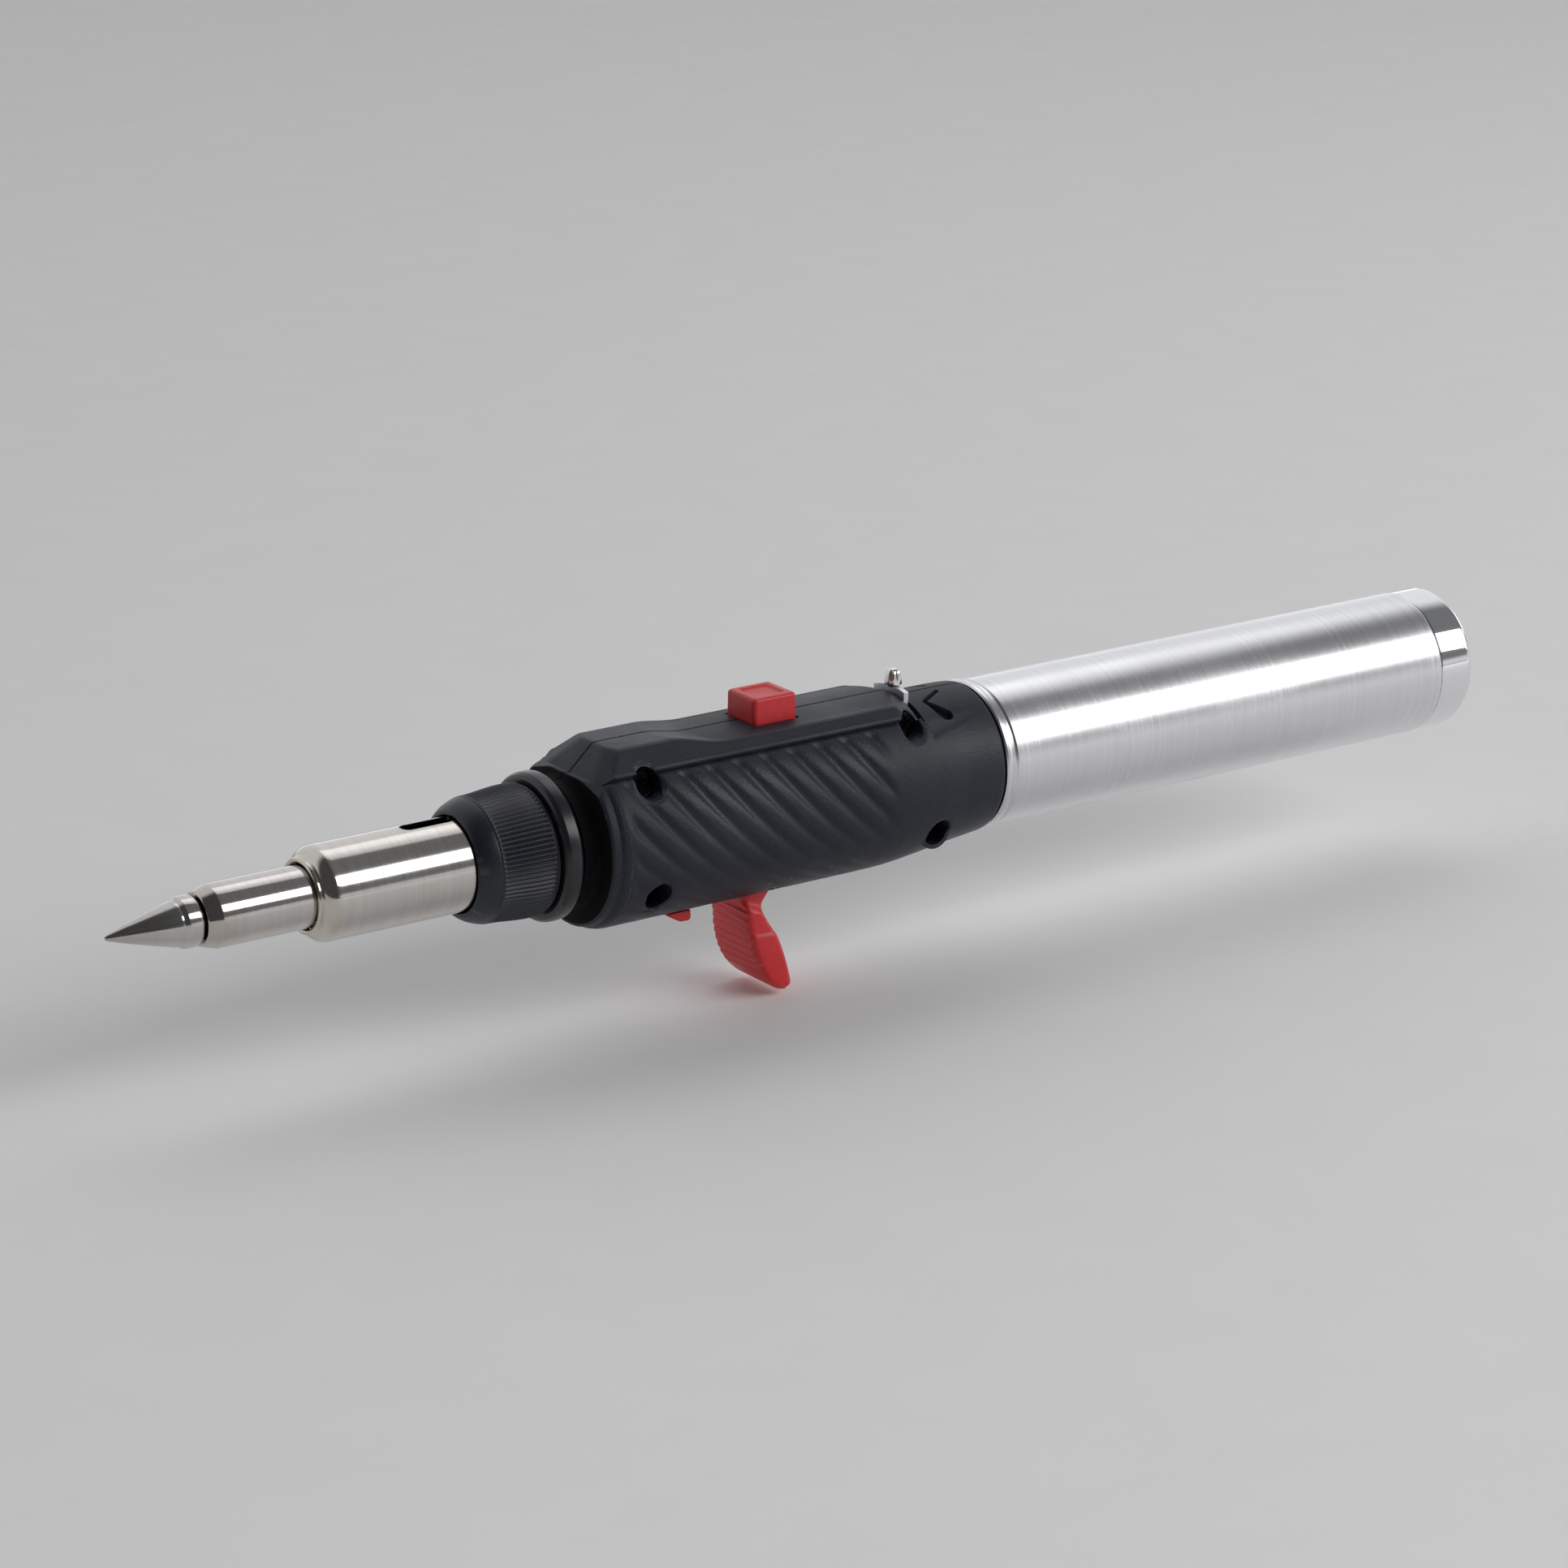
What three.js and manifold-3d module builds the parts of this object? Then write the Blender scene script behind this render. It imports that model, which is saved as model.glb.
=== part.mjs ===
// A pen-style butane torch with a soldering tip fitted: refillable tank, two-shell handle,
// trigger valve, piezo igniter, flow lever and a screw-on shield pipe over the burner.
// Millimetres. X runs along the torch, the tip points to -X, the tank's flat rear rim lies in
// the plane X = 0, Z is up (the igniter button) and the trigger hangs down.

import * as THREE from "three";
import { mergeVertices } from "three/addons/utils/BufferGeometryUtils.js";
import Module from "manifold-3d";

const wasm = await Module();
wasm.setup();

// Driving dimensions
const GAP = 0.3; // between pieces that touch on the real torch
const FINE = 40; // sides of the large round pieces
const MEDIUM = 24;
const SMALL = 14;

const TANK = { front: -100, rear: -7.5, r: 12, wall: 0.8 };
const CAP = { length: 7.2, r: 11.9, rim: 10.6, recess: 7.3, depth: 2.2, floor: 3.8 };
const SHELL = { front: -178.6, rear: -100.4, r: 14.4, inner: 12.2, wallFront: -172 };
const RIDGE = { pad: 14.7, flat: 13.7, top: 5.5, side: 8.95, foot: 11.45, rear: -115.1 };
const NOSE = { low: [-181, 8.6], high: [-170.4, 14.7] };
const COLLAR = { front: -112.7, r: 12.45 };
const NECK = { front: -110, r: 9.5, groove: 8.2 };
const SCREWS = [
  [-166.7, 9.9],
  [-166.5, -7.5],
  [-117.1, 10.4],
  [-113, -7.6],
];
const SCREW = { shank: 1.1, head: 1.45, seat: 5.8, end: 6 };
const BOSS_R = 2.4;

const BUTTON = { x: -139.2, length: 8.3, width: 8.2, bottom: 10.9, top: 17.6 };
const PIEZO = { length: 9, width: 6.4, bottom: -8, top: 5.8, bore: 2.2, boreFloor: -6.5 };
const TRIGGER = { x: -142, z: -11.2, width: 11.2, pin: 1, barrel: 2.4 };
const LOCK = { front: -160, rear: -149.6 };
const LEVER = { x: -113.9, thickness: 0.9, r: 14.2, hub: 4.8, halfAngle: 22 };

const BUSH = { front: -190.2, rear: -158, r: 8.3, bore: 3.1, counterbore: 4.2, tail: 4.4 };
const NUT = { front: -195.7, rear: -182.7, bore: 8.65, lip: 7.7 };
const RING = { front: -182.4, rear: -179.4, r: 11.65 };
const SHIELD = { front: -221.8, rear: -190.6, r: 7.35, wall: 0.5, flange: 8.1 };
const BURNER = { front: -213, rear: -180.3, r: 3.9, wall: 0.6 };
const HOLDER = { front: -239.1, rear: -206, r: 4.82, bore: 4.35, thread: 2.5 };
const TIP = { point: -253.7, coneBase: -242.5, r: 3.5, ring: 3.9, rear: -239.4, shank: 2.2 };

const VALVE = { front: -117.5, rear: -89, r: 3, bore: 1.9, stem: 1.6 };
const NIPPLE_R = 0.95;
const SPARK = { z: 5.6, insulator: 0.85, r: 0.3 };

// Solids from three.js geometries

function withoutSlivers(index) {
  const kept = [];
  for (let i = 0; i < index.length; i += 3) {
    const [a, b, c] = index.slice(i, i + 3);
    if (a !== b && b !== c && c !== a) kept.push(a, b, c);
  }
  return new Uint32Array(kept);
}

// A closed geometry as a manifold solid whose faces point out.
function solid(geometry) {
  const bare = geometry.index ? geometry.toNonIndexed() : geometry.clone();
  bare.deleteAttribute("normal");
  bare.deleteAttribute("uv");
  const welded = mergeVertices(bare, 1e-3);
  const build = (triVerts) =>
    new wasm.Manifold(
      new wasm.Mesh({ numProp: 3, vertProperties: welded.attributes.position.array, triVerts }),
    );
  const triangles = withoutSlivers(welded.index.array);
  const made = build(triangles);
  return made.volume() < 0 ? build(triangles.reverse()) : made;
}

// A turned piece round the X axis from [x, radius] points: on the axis at both ends, or a ring.
function turned(profile, sides = FINE) {
  const points = profile.map(([x, r]) => new THREE.Vector2(r, x));
  if (profile[0][1] > 0) points.push(points[0].clone());
  return solid(new THREE.LatheGeometry(points, sides).rotateZ(-Math.PI / 2));
}

// Points of an arc in a turned profile, angles in degrees from +X towards larger radius.
function arc(x, r, radius, from, to, steps = 5) {
  return Array.from({ length: steps + 1 }, (_, i) => {
    const a = THREE.MathUtils.degToRad(from + ((to - from) * i) / steps);
    return [x + radius * Math.cos(a), r + radius * Math.sin(a)];
  });
}

function box(x0, x1, y0, y1, z0, z1) {
  const g = new THREE.BoxGeometry(x1 - x0, y1 - y0, z1 - z0);
  return solid(g.translate((x0 + x1) / 2, (y0 + y1) / 2, (z0 + z1) / 2));
}

function outline(points) {
  return new THREE.Shape(points.map(([a, b]) => new THREE.Vector2(a, b)));
}

const X = new THREE.Vector3(1, 0, 0);
const Y = new THREE.Vector3(0, 1, 0);
const Z = new THREE.Vector3(0, 0, 1);

// An [x, z] outline drawn out along Y.
function slabY(points, y0, y1) {
  const g = new THREE.ExtrudeGeometry(outline(points), { depth: y1 - y0, bevelEnabled: false });
  const turn = new THREE.Matrix4().makeBasis(X, Z, Y.clone().negate());
  return solid(g.applyMatrix4(turn).translate(0, y1, 0));
}

// A [y, z] outline drawn out along X.
function slabX(points, x0, x1) {
  const g = new THREE.ExtrudeGeometry(outline(points), { depth: x1 - x0, bevelEnabled: false });
  return solid(g.applyMatrix4(new THREE.Matrix4().makeBasis(Y, Z, X)).translate(x0, 0, 0));
}

function rodY(x, z, r, y0, y1, sides = SMALL) {
  const g = new THREE.CylinderGeometry(r, r, y1 - y0, sides);
  return solid(g.translate(x, (y0 + y1) / 2, z));
}

function rodX(y, z, r, x0, x1, sides = SMALL) {
  const g = new THREE.CylinderGeometry(r, r, x1 - x0, sides).rotateZ(Math.PI / 2);
  return solid(g.translate((x0 + x1) / 2, y, z));
}

function rodZ(x, y, r, z0, z1, sides = SMALL) {
  const g = new THREE.CylinderGeometry(r, r, z1 - z0, sides).rotateX(Math.PI / 2);
  return solid(g.translate(x, y, (z0 + z1) / 2));
}

// A round tube or wire along a smooth curve through the points.
function drawn(points, r, bore, steps) {
  const curve = new THREE.CatmullRomCurve3(points.map((p) => new THREE.Vector3(...p)));
  const section = new THREE.Shape().absarc(0, 0, r, 0, 2 * Math.PI);
  if (bore) section.holes.push(new THREE.Path().absarc(0, 0, bore, 0, 2 * Math.PI, true));
  const settings = { steps, curveSegments: 4, extrudePath: curve, bevelEnabled: false };
  return solid(new THREE.ExtrudeGeometry(section, settings));
}

function ringAround(x, r, section, sides = SMALL) {
  return turned(arc(x, r, section, 0, 315, 7), sides);
}

// Materials
function finish(color, roughness, metalness) {
  return new THREE.MeshStandardMaterial({ color, roughness, metalness });
}
const BLACK_NYLON = finish(0x2f3239, 0.62, 0);
const GLOSS_BLACK = finish(0x1b1c20, 0.22, 0);
const RED_PLASTIC = finish(0xa4323a, 0.45, 0);
const ALUMINIUM = finish(0xd2d1d3, 0.3, 1);
const POLISHED = finish(0xc9c6c2, 0.14, 1);
const STAINLESS = finish(0xbdbab5, 0.25, 1);
const BRASS = finish(0xc8a25a, 0.3, 1);
const STEEL = finish(0x8f9092, 0.35, 1);
const RUBBER = finish(0x26262a, 0.8, 0);
const HOSE = finish(0xd8d4c6, 0.5, 0);
const CERAMIC = finish(0xeae6dc, 0.4, 0);
const GREY_PLASTIC = finish(0x55565b, 0.5, 0);

const torch = new THREE.Group();

function piece(name, made, material) {
  const mesh = made.getMesh();
  const corners = new THREE.BufferAttribute(mesh.vertProperties, 3);
  const geometry = new THREE.BufferGeometry().setAttribute("position", corners);
  geometry.setIndex(new THREE.BufferAttribute(mesh.triVerts, 1));
  geometry.computeVertexNormals();
  const placed = new THREE.Mesh(geometry, material);
  placed.name = name;
  torch.add(placed);
}

// Handle shells

function shellBarrel() {
  return turned([
    [SHELL.front, 0],
    [SHELL.front, 11.8],
    [-176.3, 13.25],
    ...arc(-172.9, SHELL.r - 3, 3, 128, 90, 3),
    [-122.4, SHELL.r],
    [-117.5, 14.1],
    [-112.9, 13.6],
    [-108.2, 13],
    [SHELL.rear, 12.25],
    [SHELL.rear, 0],
  ]);
}

function shellRidge() {
  const profile = [
    [-179, 6],
    [-179, 9.75],
    NOSE.high,
    [-160.5, RIDGE.pad],
    [-157.5, 14.4],
    [-154, 13.85],
    [-151, RIDGE.flat],
    [RIDGE.rear, RIDGE.flat],
    [RIDGE.rear, 6],
  ];
  const section = [
    [-RIDGE.side, 6],
    [RIDGE.side, 6],
    [RIDGE.side, RIDGE.foot],
    [RIDGE.top, RIDGE.pad],
    [-RIDGE.top, RIDGE.pad],
    [-RIDGE.side, RIDGE.foot],
  ];
  return slabY(profile, -RIDGE.side, RIDGE.side).intersect(slabX(section, -176.5, RIDGE.rear));
}

// The outside of both shells together: barrel, ridge, sloped nose and the lower rear collar.
function shellOutside() {
  const crown = box(-181, RIDGE.rear, -RIDGE.side, RIDGE.side, RIDGE.foot, 20);
  const nose = slabY([NOSE.low, NOSE.high, [NOSE.high[0], 20], [NOSE.low[0], 20]], -16, 16);
  const core = turned([[-120, 0], [-120, COLLAR.r], [-90, COLLAR.r], [-90, 0]]);
  const relief = box(COLLAR.front, -99, -16, 16, 9, 20).subtract(core);
  return shellBarrel().subtract(crown).add(shellRidge()).subtract(nose).subtract(relief);
}

// The hollow inside: front opening, chamber, and the seat that grips the tank's neck.
function shellInside() {
  return turned([
    [-180, 0],
    [-180, BUSH.r + 0.5],
    [SHELL.wallFront, BUSH.r + 0.5],
    [SHELL.wallFront, SHELL.inner],
    [-119, SHELL.inner],
    [-115.2, 10.6],
    [-110.4, 10.4],
    [-110.4, NECK.r + 0.4],
    [-107.7, NECK.r + 0.4],
    [-107.7, NECK.groove + 0.4],
    [-106.3, NECK.groove + 0.4],
    [-106.3, NECK.r + 0.4],
    [-100, NECK.r + 0.4],
    [-100, 0],
  ]);
}

function shellWindows() {
  const button = box(
    BUTTON.x - BUTTON.length / 2 - GAP,
    BUTTON.x + BUTTON.length / 2 + GAP,
    -BUTTON.width / 2 - GAP,
    BUTTON.width / 2 + GAP,
    9,
    20,
  );
  const trigger = box(-147.3, -136.3, -6.1, 6.1, -20, -9.8);
  const lock = box(LOCK.front + 0.2, -150.7, -2.2, 2.2, -20, -10);
  const lever = box(RIDGE.rear, COLLAR.front, -10.3, 10.3, 7, 20);
  return button.add(trigger).add(lock).add(lever);
}

function bossAt(x, z, outside) {
  const post = rodY(x, z, BOSS_R, -14, 14);
  const room = box(x - 5, x > -120 && z > 0 ? RIDGE.rear - 0.2 : x + 5, -16, 16, z - 5, z + 5);
  return post.intersect(outside).intersect(room);
}

// One half of the handle: side -1 is the left shell with the screw heads, +1 the right one.
function shell(side) {
  const outside = shellOutside();
  let body = outside.subtract(shellInside());
  for (const [x, z] of SCREWS) body = body.add(bossAt(x, z, outside));
  body = body.subtract(shellWindows());
  for (const [x, z] of SCREWS) {
    body = body.subtract(rodY(x, z, SCREW.shank + GAP, -12, SCREW.end + 1));
    body = body.subtract(rodY(x, z, SCREW.head + GAP, -16, -SCREW.seat));
  }
  body = body.subtract(rodY(TRIGGER.x, TRIGGER.z, TRIGGER.pin + GAP, -7.9, 7.9));
  const half = side < 0 ? box(-185, -95, -20, -GAP / 2, -20, 20) : box(-185, -95, GAP / 2, 20, -20, 20);
  return body.intersect(half);
}

function caseScrew(x, z) {
  const shank = rodY(x, z, SCREW.shank, -SCREW.seat - 1, SCREW.end);
  const head = rodY(x, z, SCREW.head, -SCREW.seat - 1.7, -SCREW.seat - GAP);
  const slot = box(x - 0.9, x + 0.9, -SCREW.seat - 2, -SCREW.seat - 1.2, z - 0.2, z + 0.2);
  const cross = box(x - 0.2, x + 0.2, -SCREW.seat - 2, -SCREW.seat - 1.2, z - 0.9, z + 0.9);
  return head.add(shank).subtract(slot).subtract(cross);
}

// Tank

function tankTube() {
  return turned([
    [TANK.front, TANK.r - TANK.wall],
    [TANK.front, TANK.r],
    [TANK.front + 0.3, TANK.r + 0.15],
    [TANK.front + 1.1, TANK.r + 0.15],
    [TANK.front + 1.5, TANK.r - 0.25],
    [TANK.front + 2.1, TANK.r - 0.25],
    [TANK.front + 2.5, TANK.r],
    [TANK.rear, TANK.r],
    [TANK.rear, TANK.r - TANK.wall],
  ]);
}

function tankFrontPlug() {
  return turned(
    [
      [NECK.front, VALVE.r + GAP],
      [NECK.front, NECK.r],
      [-108.4, NECK.r],
      [-108.4, NECK.groove],
      [-105.6, NECK.groove],
      [-105.6, NECK.r],
      [-99.2, NECK.r],
      [-99.2, 10.9],
      [-93, 10.9],
      [-93, 8],
      [-104, 8],
      [-104, 6],
      [-93, 6],
      [-93, 4.8],
      [-96.8, 4.8],
      [-96.8, VALVE.r + GAP],
    ],
    MEDIUM,
  );
}

function tankEndCap() {
  const edge = CAP.r - CAP.rim;
  return turned([
    [-14, 9.9],
    [-14, 10.9],
    [-CAP.length, 10.9],
    [-CAP.length, CAP.r],
    ...arc(-edge, CAP.rim, edge, 90, 0, 4),
    [0, CAP.recess + 0.3],
    [-CAP.depth, CAP.recess],
    [-CAP.depth, 2.6],
    [-CAP.depth - CAP.floor, 2.6],
    [-CAP.depth - CAP.floor, 9.9],
  ]);
}

function fillerValveBody() {
  return turned(
    [
      [-16, 0.9],
      [-16, 2.3],
      [-1.9, 2.3],
      [-1.9, 3.6],
      [-1, 3.6],
      [-1, 1.3],
      [-4, 1.3],
      [-4, 1.9],
      [-14.6, 1.9],
      [-14.6, 0.9],
    ],
    MEDIUM,
  );
}

function fillerValveStem() {
  return turned(
    [[-12.8, 0], [-12.8, 0.8], [-6, 0.8], [-6, 1.55], [-5.2, 1.55], [-5.2, 0.9], [-0.4, 0.9], [-0.4, 0]],
    SMALL,
  );
}

function sleeve(x0, x1, inner, outer, sides = SMALL) {
  return turned([[x0, inner], [x0, outer], [x1, outer], [x1, inner]], sides);
}

// Outlet valve, flow lever and gas line

function outletValveBody() {
  return turned(
    [
      [VALVE.front, VALVE.bore],
      [VALVE.front, VALVE.r],
      [VALVE.rear, VALVE.r],
      [VALVE.rear, 0.8],
      [-90.2, 0.8],
      [-90.2, 2.3],
      [-105.2, 2.3],
      [-105.2, VALVE.bore],
    ],
    SMALL + 4,
  );
}

function outletValveStem() {
  return turned(
    [
      [-125.9, 0],
      [-125.9, NIPPLE_R],
      [-121.4, NIPPLE_R],
      [-121.4, 2.6],
      [-120, 2.6],
      [-120, VALVE.stem],
      [-104.2, VALVE.stem],
      [-104.2, 1],
      [-92.4, 1],
      [-92.4, 1.9],
      [-91, 1.9],
      [-91, 0],
    ],
    SMALL,
  );
}

function flowLever() {
  const limit = THREE.MathUtils.degToRad(LEVER.halfAngle);
  const steps = 8;
  const rim = Array.from({ length: steps + 1 }, (_, i) => {
    const a = -limit + (2 * limit * i) / steps;
    return [LEVER.r * Math.sin(a), LEVER.r * Math.cos(a)];
  });
  const half = LEVER.thickness / 2;
  const blade = slabX([[3.2, 2.5], [-3.2, 2.5], ...rim], LEVER.x - half, LEVER.x + half);
  const hub = rodX(0, 0, LEVER.hub, LEVER.x - half, LEVER.x + half, MEDIUM);
  return hub.add(blade).subtract(rodX(0, 0, VALVE.r + 0.06, LEVER.x - 1, LEVER.x + 1, MEDIUM));
}

function flowKnob() {
  const bottom = LEVER.r - 0.2;
  const stem = rodZ(LEVER.x, 0, 1, bottom, bottom + 2.7);
  const cut = LEVER.thickness / 2 + GAP;
  return stem.subtract(box(LEVER.x - cut, LEVER.x + cut, -2, 2, bottom - 1, LEVER.r + GAP));
}

function valveLink() {
  const bar = box(-144.3, -118.6, -5.6, -4.4, -5.2, -3.6);
  const lug = box(-144.3, -143.1, -5.6, -4.4, -7.4, -4);
  const fork = box(-119.6, -118.6, -5.6, 2.6, -5.2, 2.6);
  const mouth = rodX(0, 0, VALVE.stem + GAP, -121, -117).add(box(-121, -117, -1.9, 1.9, 0, 4));
  return bar.add(lug).add(fork.subtract(mouth));
}

function gasHose() {
  const path = [
    [-124.5, 0, 0],
    [-126.6, 0, 0],
    [-128.4, 0.2, 0],
    [-133.4, 4.5, 0],
    [-139.2, 5.9, 0],
    [-145.4, 4.4, 0],
    [-150.5, 0.3, 0],
    [-154.9, 0, 0],
  ];
  return drawn(path, 1.75, 1.15, 22);
}

function injectorBody() {
  return turned(
    [
      [-176, 1.75],
      [-176, 2.8],
      [-157.6, 2.8],
      [-157.6, 3.9],
      [-155.4, 3.9],
      [-155.4, NIPPLE_R],
      [-151, NIPPLE_R],
      [-151, 0.45],
      [-173, 0.45],
      [-173, 1.75],
    ],
    SMALL,
  );
}

// Igniter

function roundedBlock(x, length, width, corner, z0, z1, bevel) {
  const h = length / 2 - bevel;
  const w = width / 2 - bevel;
  const shape = new THREE.Shape();
  shape.moveTo(-h + corner, -w);
  shape.lineTo(h - corner, -w);
  shape.absarc(h - corner, -w + corner, corner, -Math.PI / 2, 0);
  shape.absarc(h - corner, w - corner, corner, 0, Math.PI / 2);
  shape.absarc(-h + corner, w - corner, corner, Math.PI / 2, Math.PI);
  shape.absarc(-h + corner, -w + corner, corner, Math.PI, 1.5 * Math.PI);
  const settings = { depth: z1 - z0 - 2 * bevel, bevelSize: bevel, bevelThickness: bevel };
  const g = new THREE.ExtrudeGeometry(shape, { ...settings, bevelSegments: 2, curveSegments: 4 });
  return solid(g.translate(x, 0, z0 + bevel));
}

function igniterButton() {
  const cap = roundedBlock(BUTTON.x, BUTTON.length, BUTTON.width, 0.6, 10, BUTTON.top, 0.5);
  const flange = box(BUTTON.x - 4.9, BUTTON.x + 4.9, -4.75, 4.75, 9.9, BUTTON.bottom);
  const pocket = box(BUTTON.x - 2.8, BUTTON.x + 2.8, -2.4, 2.4, 9, 14.5);
  const dimple = box(BUTTON.x - 2.6, BUTTON.x + 2.6, -2.4, 2.4, BUTTON.top - 0.4, 20);
  return cap.add(flange).subtract(pocket).subtract(dimple);
}

function piezoBody() {
  const half = PIEZO.length / 2;
  const side = PIEZO.width / 2;
  const block = box(BUTTON.x - half, BUTTON.x + half, -side, side, PIEZO.bottom, PIEZO.top);
  return block.subtract(rodZ(BUTTON.x, 0, PIEZO.bore, PIEZO.boreFloor, PIEZO.top + 1));
}

function springUpright(x, z0, z1, inner, outer) {
  return rodZ(x, 0, outer, z0, z1).subtract(rodZ(x, 0, inner, z0 - 1, z1 + 1));
}

function electrodeInsulator() {
  const tube = rodX(0, SPARK.z, SPARK.insulator, -193, -168.6);
  return tube.subtract(rodX(0, SPARK.z, SPARK.r + 0.25, -195, -167, 8));
}

function ignitionWire() {
  const path = [
    [-166.9, 0, SPARK.z],
    [-161, 0, SPARK.z + 0.2],
    [-154, 1.2, 5.2],
    [-148, 1.6, 4.4],
    [-144.1, 1.6, 4],
  ];
  return drawn(path, 0.7, 0, 12);
}

// Trigger group

function trigger() {
  const blade = slabY(
    [
      [-144.3, -12],
      [-145.3, -14.5],
      [-145.1, -17.6],
      [-144.6, -20.6],
      [-143.5, -24],
      [-142, -27],
      [-140.4, -29.3],
      [-138.9, -30.2],
      [-137.5, -30.3],
      [-136.8, -29.6],
      [-137, -27.2],
      [-138.2, -23.7],
      [-139.6, -20.8],
      [-141.4, -18.6],
      [-142.4, -16.6],
      [-141.6, -15],
      [-140.4, -13.2],
      [-139.9, -12],
    ],
    -TRIGGER.width / 2,
    TRIGGER.width / 2,
  );
  const half = TRIGGER.width / 2;
  const barrel = rodY(TRIGGER.x, TRIGGER.z, TRIGGER.barrel, -half, half, SMALL + 4);
  const arm = box(-142.8, -141.2, -5.6, -4.4, TRIGGER.z, -5.6);
  const springRoom = box(-146, -139.2, -1.6, 1.6, -13.7, -8);
  const bore = rodY(TRIGGER.x, TRIGGER.z, TRIGGER.pin + 0.06, -8, 8, SMALL + 4);
  return blade.add(barrel).add(arm).subtract(springRoom).subtract(bore);
}

function triggerSpring() {
  const coil = rodY(TRIGGER.x, TRIGGER.z, 2.1, -1.3, 1.3);
  return coil.subtract(rodY(TRIGGER.x, TRIGGER.z, 1.35, -2, 2));
}

function lockSlider() {
  const bar = box(LOCK.front, LOCK.rear, -3, 3, -11.5, -10.5);
  const neck = box(-158, -155.2, -1.8, 1.8, -15.2, -11);
  const nub = slabY(
    [[-158.6, -14.8], [-158.4, -15.1], [-155.9, -16.5], [-154.4, -16.5], [-154.2, -14.8]],
    -2.5,
    2.5,
  );
  return bar.add(neck).add(nub);
}

// Front end

function noseBush() {
  const body = turned(
    [
      [BUSH.front, BUSH.counterbore],
      [BUSH.front, BUSH.r],
      [-171.6, BUSH.r],
      [-171.6, 10.5],
      [-169.8, 10.5],
      [-169.8, BUSH.tail],
      [BUSH.rear, BUSH.tail],
      [BUSH.rear, BUSH.bore],
      [-180, BUSH.bore],
      [-180, BUSH.counterbore],
    ],
    MEDIUM,
  );
  return body.subtract(rodX(0, SPARK.z, SPARK.insulator + GAP, -192, -169));
}

function noseRing() {
  return turned([
    [RING.front, BUSH.r + GAP],
    [RING.front, 10.9],
    [-182, 11.4],
    [-181.4, RING.r],
    [-180, RING.r],
    [RING.rear, 11.3],
    [RING.rear, BUSH.r + GAP],
  ]);
}

function collarNut() {
  return turned([
    [NUT.front, NUT.lip],
    [NUT.front, 8.1],
    [-195.3, 8.6],
    [-194.2, 9.25],
    [-192.8, 9.7],
    [-191.3, 9.95],
    [-187.1, 10.3],
    [-183.4, 10.45],
    [NUT.rear, 10.2],
    [NUT.rear, NUT.bore],
    [-191.9, NUT.bore],
    [-191.9, NUT.lip],
  ]);
}

function shieldPipe() {
  const inner = SHIELD.r - SHIELD.wall;
  const pipe = turned([
    [SHIELD.front, 5.15],
    [SHIELD.front, 5.6],
    [-221, 6.05],
    [-220.5, 6.5],
    [-219.7, 7.05],
    [-218.8, 7.3],
    [-217.8, SHIELD.r],
    [-191.4, SHIELD.r],
    [-191.4, SHIELD.flange],
    [SHIELD.rear, SHIELD.flange],
    [SHIELD.rear, inner],
    [-218, inner],
    [-219.2, 6.5],
    [-220.2, 5.8],
    [-220.8, 5.15],
  ]);
  return pipe.subtract(box(-204.5, -195.5, -1.3, 1.3, 5, 9));
}

function holesRound(x, r, reach, count) {
  let made;
  for (let i = 0; i < count; i++) {
    const hole = new THREE.CylinderGeometry(r, r, reach, 12).translate(0, reach / 2 + 1, 0);
    const cut = solid(hole.rotateX((2 * Math.PI * (i + 0.5)) / count).translate(x, 0, 0));
    made = made ? made.add(cut) : cut;
  }
  return made;
}

function burnerTube() {
  const tube = sleeve(BURNER.front, BURNER.rear, BURNER.r - BURNER.wall, BURNER.r, MEDIUM);
  return tube.subtract(holesRound(-193.5, 0.9, 6, 4));
}

function flameHolder() {
  let disc = rodX(0, 0, 3, -212.5, -211.3, MEDIUM);
  const count = 6;
  for (let i = 0; i < count; i++) {
    const a = (2 * Math.PI * i) / count;
    disc = disc.subtract(rodX(1.9 * Math.cos(a), 1.9 * Math.sin(a), 0.45, -214, -210, 10));
  }
  return disc;
}

function tipHolder() {
  const tube = turned(
    [
      [HOLDER.front, HOLDER.thread],
      [HOLDER.front, 4],
      [-236.7, HOLDER.r],
      [HOLDER.rear, HOLDER.r],
      [HOLDER.rear, HOLDER.bore],
      [-233, HOLDER.bore],
      [-233, HOLDER.thread],
    ],
    MEDIUM + 8,
  );
  return tube.subtract(holesRound(-216, 1, 6, 4));
}

function solderingTip() {
  return turned(
    [
      [TIP.point, 0],
      [TIP.point + 0.15, 0.35],
      [TIP.point + 0.5, 0.55],
      [-251, 1.2],
      [-246, 2.6],
      [TIP.coneBase, TIP.r],
      [-242.3, 3.5],
      [-241.8, TIP.ring],
      [-239.8, TIP.ring],
      [TIP.rear, 3.6],
      [TIP.rear, TIP.shank],
      [-232.3, TIP.shank],
      [-232.3, 0],
    ],
    MEDIUM,
  );
}

// The torch, from the handle outwards

piece("body_shell_left", shell(-1), BLACK_NYLON);
piece("body_shell_right", shell(1), BLACK_NYLON);
SCREWS.forEach(([x, z], i) => piece(`case_screw_${i + 1}`, caseScrew(x, z), STEEL));

piece("tank_tube", tankTube(), ALUMINIUM);
piece("tank_front_plug", tankFrontPlug(), ALUMINIUM);
piece("tank_end_cap", tankEndCap(), POLISHED);
piece("filler_valve_body", fillerValveBody(), BRASS);
piece("filler_valve_stem", fillerValveStem(), BRASS);
piece("filler_valve_spring", sleeve(-13.1, -6.3, 1.15, 1.6), STEEL);
piece("filler_valve_seal", ringAround(-6.75, 3.05, 0.4), RUBBER);

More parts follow.
